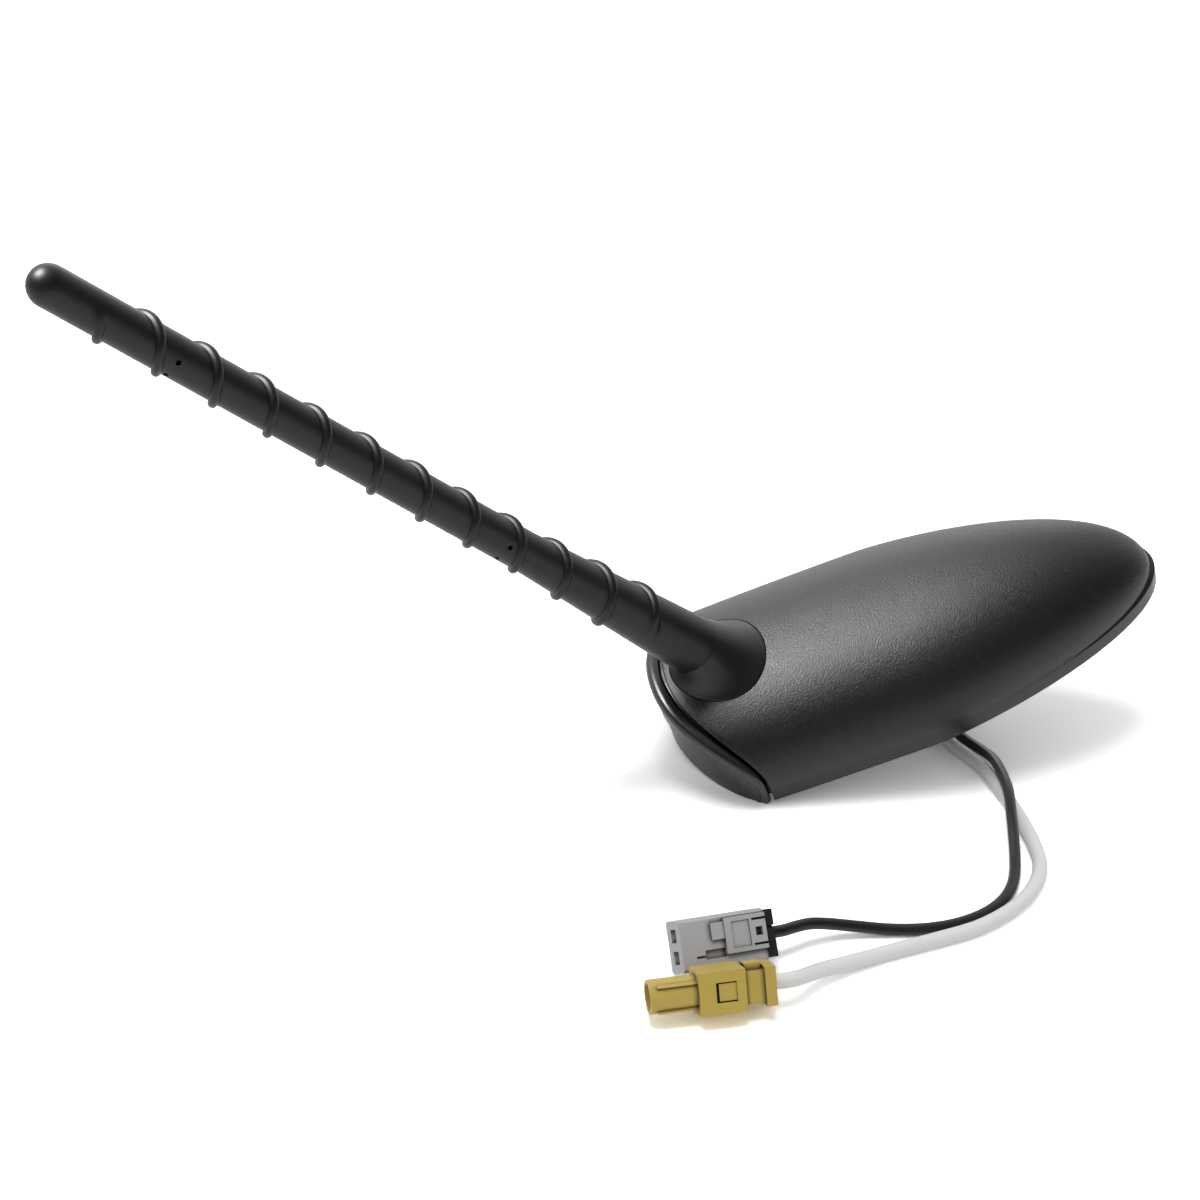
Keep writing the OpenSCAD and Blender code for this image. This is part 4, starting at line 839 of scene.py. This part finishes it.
def rib_bump(u):
    """Height of the rib over the rod, from its foot at -0.5 to its foot at 0.5."""
    return max(0.0, 1 - abs(2 * u) ** rib_power) ** rib_roundness


def pin_hole(s, degrees):
    """A round tool across the mast, from under its skin to outside it."""
    c, d = math.cos(math.radians(degrees)), math.sin(math.radians(degrees))
    flat, faces = prism(circle(pin_r, 16), rod_radius(s) - pin_depth, rod_radius(s) + 2)
    points = [mast_point(h * c - p * d, h * d + p * c, seam_s + s + q) for p, q, h in flat]
    return make_tool("pin_hole", points, faces)


share_w = rib_w / rib_pitch
across = [(-0.5 + i / 14) * share_w for i in range(15)]
across += [0.5 * share_w + (1 - share_w) * i / 9 for i in range(1, 9)] + [1 - 0.5 * share_w]
mast_points = []
for i in range(int(-1.5 * per_turn), int((mast_l / rib_pitch + 1.2) * per_turn) + 1):
    a = 360 * i / per_turn
    on = a - 360 * last_turn - rib_turn
    fade = math.sin(math.pi / 2 * max(0.0, min(1.0, -on / rib_fade, (on + 360 * rib_turns) / rib_fade)))
    for t in across:
        s = min(mast_l, max(0.0, rib_end + rib_pitch * on / 360 + t * rib_pitch))
        r = rod_radius(s) + (rib_h * fade * rib_bump(t / share_w) if 0 < s < mast_l else 0.0)
        mast_points.append((r, math.radians(a), s))
mast_faces = grid_faces(len(mast_points) // len(across), len(across))
tip_turns = [math.pi / 2 * i / 10 for i in range(11)]
tip_rings = [(max(1e-4, rod_tip_r * math.cos(b)), mast_l + rod_tip_r * math.sin(b)) for b in tip_turns]
foot_rings = [(mast_foot_r, 0.0), (mast_foot_r - 0.12, 0.0), (2.0, 0.0)]
for rings in (tip_rings, foot_rings):
    mast_faces += grid_faces(len(rings), per_turn, closed=True, offset=len(mast_points))
    mast_points += [(r, 2 * math.pi * k / per_turn, s) for r, s in rings for k in range(per_turn)]
mast_points = [mast_point(r * math.cos(a), r * math.sin(a), seam_s + s) for r, a, s in mast_points]
mast_skin = make_piece("mast_skin", mast_points, mast_faces, [mast_elastomer], weld_mm=0.004)
cut(mast_skin, [pin_hole(s, degrees) for s in pin_heights for degrees in pin_sides])
sharpen(mast_skin, 60)
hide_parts("mast_sleeve")
print("mast skin:", len(mast_skin.data.polygons), "faces")

# %% [markdown]
# ## The hollow stud
# The stud's thread is cut at a pitch of 1.5 mm. It is built like the mast's rib, as a grid that
# follows the helix, because a thread drawn with a bump alone would have a straight outline. All
# the rest of it is as on the solid.

# %% Stud with its thread
stud_l, neck_r, root_r, thread_r, bore_r = 22.7, 7.4, 7.12, 7.97, 5.75
thread_top, thread_end, pitch, thread_n = -0.5, -16.5, 1.5, 72
shoulder_r, flange_r, flange_z0, flange_z1, slot_half_w, slot_top = 8, 11, 6.7, 8.7, 3.75, -17.0
profile = [(0.0, root_r), (0.12, root_r), (0.44, thread_r), (0.56, thread_r), (0.88, root_r), (1.0, root_r)]
stud_points = []
steps = int((thread_top - thread_end) / pitch * thread_n) + 2 * thread_n
for i in range(steps + 1):
    a = 2 * math.pi * i / thread_n
    for t, r in profile:
        z = thread_end - pitch + pitch * (i / thread_n + t)
        held = min(thread_top, max(thread_end, z))
        r = r if held == z else root_r
        stud_points.append((r * math.cos(a), r * math.sin(a), held))
lathe = [(root_r, thread_end), (neck_r, thread_end), (neck_r, -stud_l + 0.3), (neck_r - 0.3, -stud_l),
         (bore_r + 0.2, -stud_l), (bore_r, -stud_l + 0.2), (bore_r, flange_z1), (flange_r, flange_z1),
         (flange_r, flange_z0), (shoulder_r, flange_z0), (shoulder_r, seal_t), (neck_r, seal_t),
         (neck_r, thread_top), (root_r, thread_top)]
stud_faces = grid_faces(steps + 1, len(profile))
stud_faces += grid_faces(len(lathe), thread_n, closed=True, offset=len(stud_points))
stud_points += [(x, y, z) for r, z in lathe for x, y in circle(r, thread_n)]
stud_skin = make_piece("stud_with_thread", stud_points, stud_faces, [zinc_plate], weld_mm=0.004)
slot_plan = [(-slot_half_w, -12), (slot_half_w, -12), (slot_half_w, 0), (-slot_half_w, 0)]
cut(stud_skin, [make_tool("slot_box", *prism(slot_plan, -stud_l - 2, slot_top))])
sharpen(stud_skin, 28)
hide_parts("threaded_stud")
print("stud:", len(stud_skin.data.polygons), "faces")

# %% [markdown]
# ## The parts that keep their measured shape
# The small connector parts, the seal and everything inside the shell are right as measured, and
# only get their finishes here. A moulding never has knife edges, so the connector parts and the
# seal get a narrow bevel, as a modifier on top of the untouched mesh.

# %% Finishes of the measured parts
finishes = {
    seal_rubber: "roof_seal cable_grommet", zinc_casting: "base_plate", board_lacquer: "circuit_board",
    fired_ceramic: "ceramic_patch", silver_paste: "patch_electrode", spring_bronze: "mast_contact",
    turned_brass: "threaded_insert", fibre_rod: "mast_core", enamelled_copper: "mast_winding",
    black_jacket: "inner_black_lead", white_jacket: "inner_white_lead", black_pbt: "grey_clamp",
    grey_pbt: "grey_housing grey_retainer", yellow_pbt: "yellow_housing yellow_lock",
    ptfe_white: "plug_insulator", gold_plate: "plug_outer_contact plug_centre_pin",
    tin_plate: "shield_can grey_contact_1 grey_contact_2 plug_crimp_ferrule",
    zinc_plate: "mast_ferrule board_screw_1 board_screw_2 board_screw_3 "
                "base_screw_1 base_screw_2 base_screw_3 base_screw_4"}
finishes = {name: finish for finish, names in finishes.items() for name in names.split()}
bevels_mm = {"grey_housing": 0.22, "grey_retainer": 0.18, "grey_clamp": 0.2, "yellow_housing": 0.28,
             "yellow_lock": 0.15, "roof_seal": 0.3}
for name, finish in finishes.items():
    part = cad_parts[name]
    part.data.materials.clear()
    part.data.materials.append(finish)
    part.data.shade_smooth()
    sharpen(part, 28)
    if name in bevels_mm:
        part.data.shade_smooth()  # the bevel makes the edge here, so the mesh under it stays smooth
        edge = part.modifiers.new("mould radius", "BEVEL")
        edge.width, edge.segments = bevels_mm[name] * MM, 2
        edge.limit_method, edge.angle_limit = "ANGLE", math.radians(35)
        edge.harden_normals = True
print("measured parts finished:", len(finishes))

# %% [markdown]
# ## The floor
# The object lies on a white sweep in the bench's plane; seen from below it turns clear, so that
# other views can look up at the seal and the stud. The camera sees it overexposed, as white
# ground is in a studio picture, reflections a bit less, and the light it throws back is paper's.

# %% Floor
def white_sweep():
    """Diffuse white paper whose brightness depends on who looks, and which is clear from below."""
    made, tree, out, place = new_material("white paper sweep")
    rays = add_node(tree, "LightPath")
    mirrored = add_node(tree, "Math", {"operation": "MULTIPLY_ADD", 1: 0.4, 2: 0.9},
                        {0: rays.outputs["Is Glossy Ray"]})
    white = add_node(tree, "Math", {"operation": "MULTIPLY_ADD", 1: 1.0},
                     {0: rays.outputs["Is Camera Ray"], 2: mirrored.outputs["Value"]})
    paper = add_node(tree, "BsdfDiffuse", None, {"Color": white.outputs["Value"]})
    clear = add_node(tree, "BsdfTransparent")
    side = add_node(tree, "NewGeometry")
    both = add_node(tree, "MixShader", None,
                    {0: side.outputs["Backfacing"], 1: paper.outputs["BSDF"], 2: clear.outputs["BSDF"]})
    tree.links.new(both.outputs["Shader"], out.inputs["Surface"])
    return made


half_floor = 3000
corners = [(x * half_floor, y * half_floor) for x, y in ((-1, -1), (1, -1), (1, 1), (-1, 1))]
floor_mesh = bpy.data.meshes.new("floor")
floor_mesh.from_pydata([tuple(from_bench((x, y, 0))) for x, y in corners], [], [(0, 1, 2, 3)])
floor_mesh.materials.append(white_sweep())
floor = new_object("floor", floor_mesh)
print("floor, m:", 2 * half_floor * MM)

# %% [markdown]
# ## The white room
# The camera sees plain white all round, and matt surfaces get an even light from everywhere.
# Reflections see a darker room with a bright backdrop behind the object and a dim ceiling,
# because a black plastic shows its form only by what it mirrors.

# %% Room
world = bpy.data.worlds.new("white room")
bpy.context.scene.world = world
world.use_nodes = True
room = world.node_tree
room.nodes.clear()


def towards(direction, low, high, dark, light):
    """Light of the room by direction: dark away from it, light towards it, with a soft change between."""
    way = add_node(room, "TexCoord")
    share = add_node(room, "VectorMath",
                     {"operation": "DOT_PRODUCT", 1: tuple(bench.to_3x3() @ Vector(direction))},
                     {0: way.outputs["Generated"]}).outputs["Value"]
    return ranged(room, share, {"interpolation_type": "SMOOTHSTEP", "From Min": low, "From Max": high,
                                "To Min": dark, "To Max": light})


rays = add_node(room, "LightPath")
seen = add_node(room, "Math", {"operation": "MAXIMUM"},
                {0: rays.outputs["Is Camera Ray"], 1: rays.outputs["Is Transmission Ray"]})
seen_light = add_node(room, "Background", {"Color": (1, 1, 1, 1), "Strength": 1.0})
backdrop = towards((0.17, 0.98, 0.0), -0.15, 0.75, 0.08, 1.0)
ceiling = towards((0, 0, 1), 0.3, 1.0, 0.0, 0.25)
room_light = add_node(room, "Math", {"operation": "MAXIMUM"}, {0: backdrop, 1: ceiling})
even_light = add_node(room, "Mix", {"data_type": "FLOAT", 3: 0.5},
                      {0: rays.outputs["Is Diffuse Ray"], 2: room_light.outputs["Value"]})
soft_light = add_node(room, "Background", {"Color": (1, 1, 1, 1)}, {"Strength": even_light.outputs[0]})
mixed = add_node(room, "MixShader", None,
                 {0: seen.outputs["Value"], 1: soft_light.outputs["Background"],
                  2: seen_light.outputs["Background"]})
add_node(room, "OutputWorld", None, {"Surface": mixed.outputs["Shader"]})
print("nodes of the room:", len(room.nodes))

# %% [markdown]
# ## The lamps
# Two white cards are seen only in reflections: one over the tail gives the broad highlight on
# the dome, and a weak one behind draws the far edges. The lamp overhead lights the matt colours
# and casts the shadow, and no surface mirrors it.

# %% Lamps
lamp_aim = (30, 0, 30)


def soft_lamp(name, at_mm, size_m, power):
    """A square soft box aimed at the object: place in bench millimetres, power in watts."""
    data = bpy.data.lights.new(name, "AREA")
    data.shape, data.size, data.energy = "SQUARE", size_m, power
    lamp = new_object(name, data)
    at, aim = from_bench(at_mm), from_bench(lamp_aim)
    lamp.matrix_world = Matrix.Translation(at) @ (at - aim).to_track_quat("Z", "Y").to_matrix().to_4x4()
    return lamp


soft_lamp("card_over_the_tail", (-635, 178, 1013), 0.5, 30.0).visible_diffuse = False
soft_lamp("card_behind", (200, 1400, 700), 1.0, 4.0).visible_diffuse = False
soft_lamp("lamp_overhead", (-120, -50, 1120), 0.45, 4.5).visible_glossy = False

# %% [markdown]
# The plain Standard view keeps the colours as they were written.

# %% Finish
bpy.context.scene.view_settings.view_transform = "Standard"
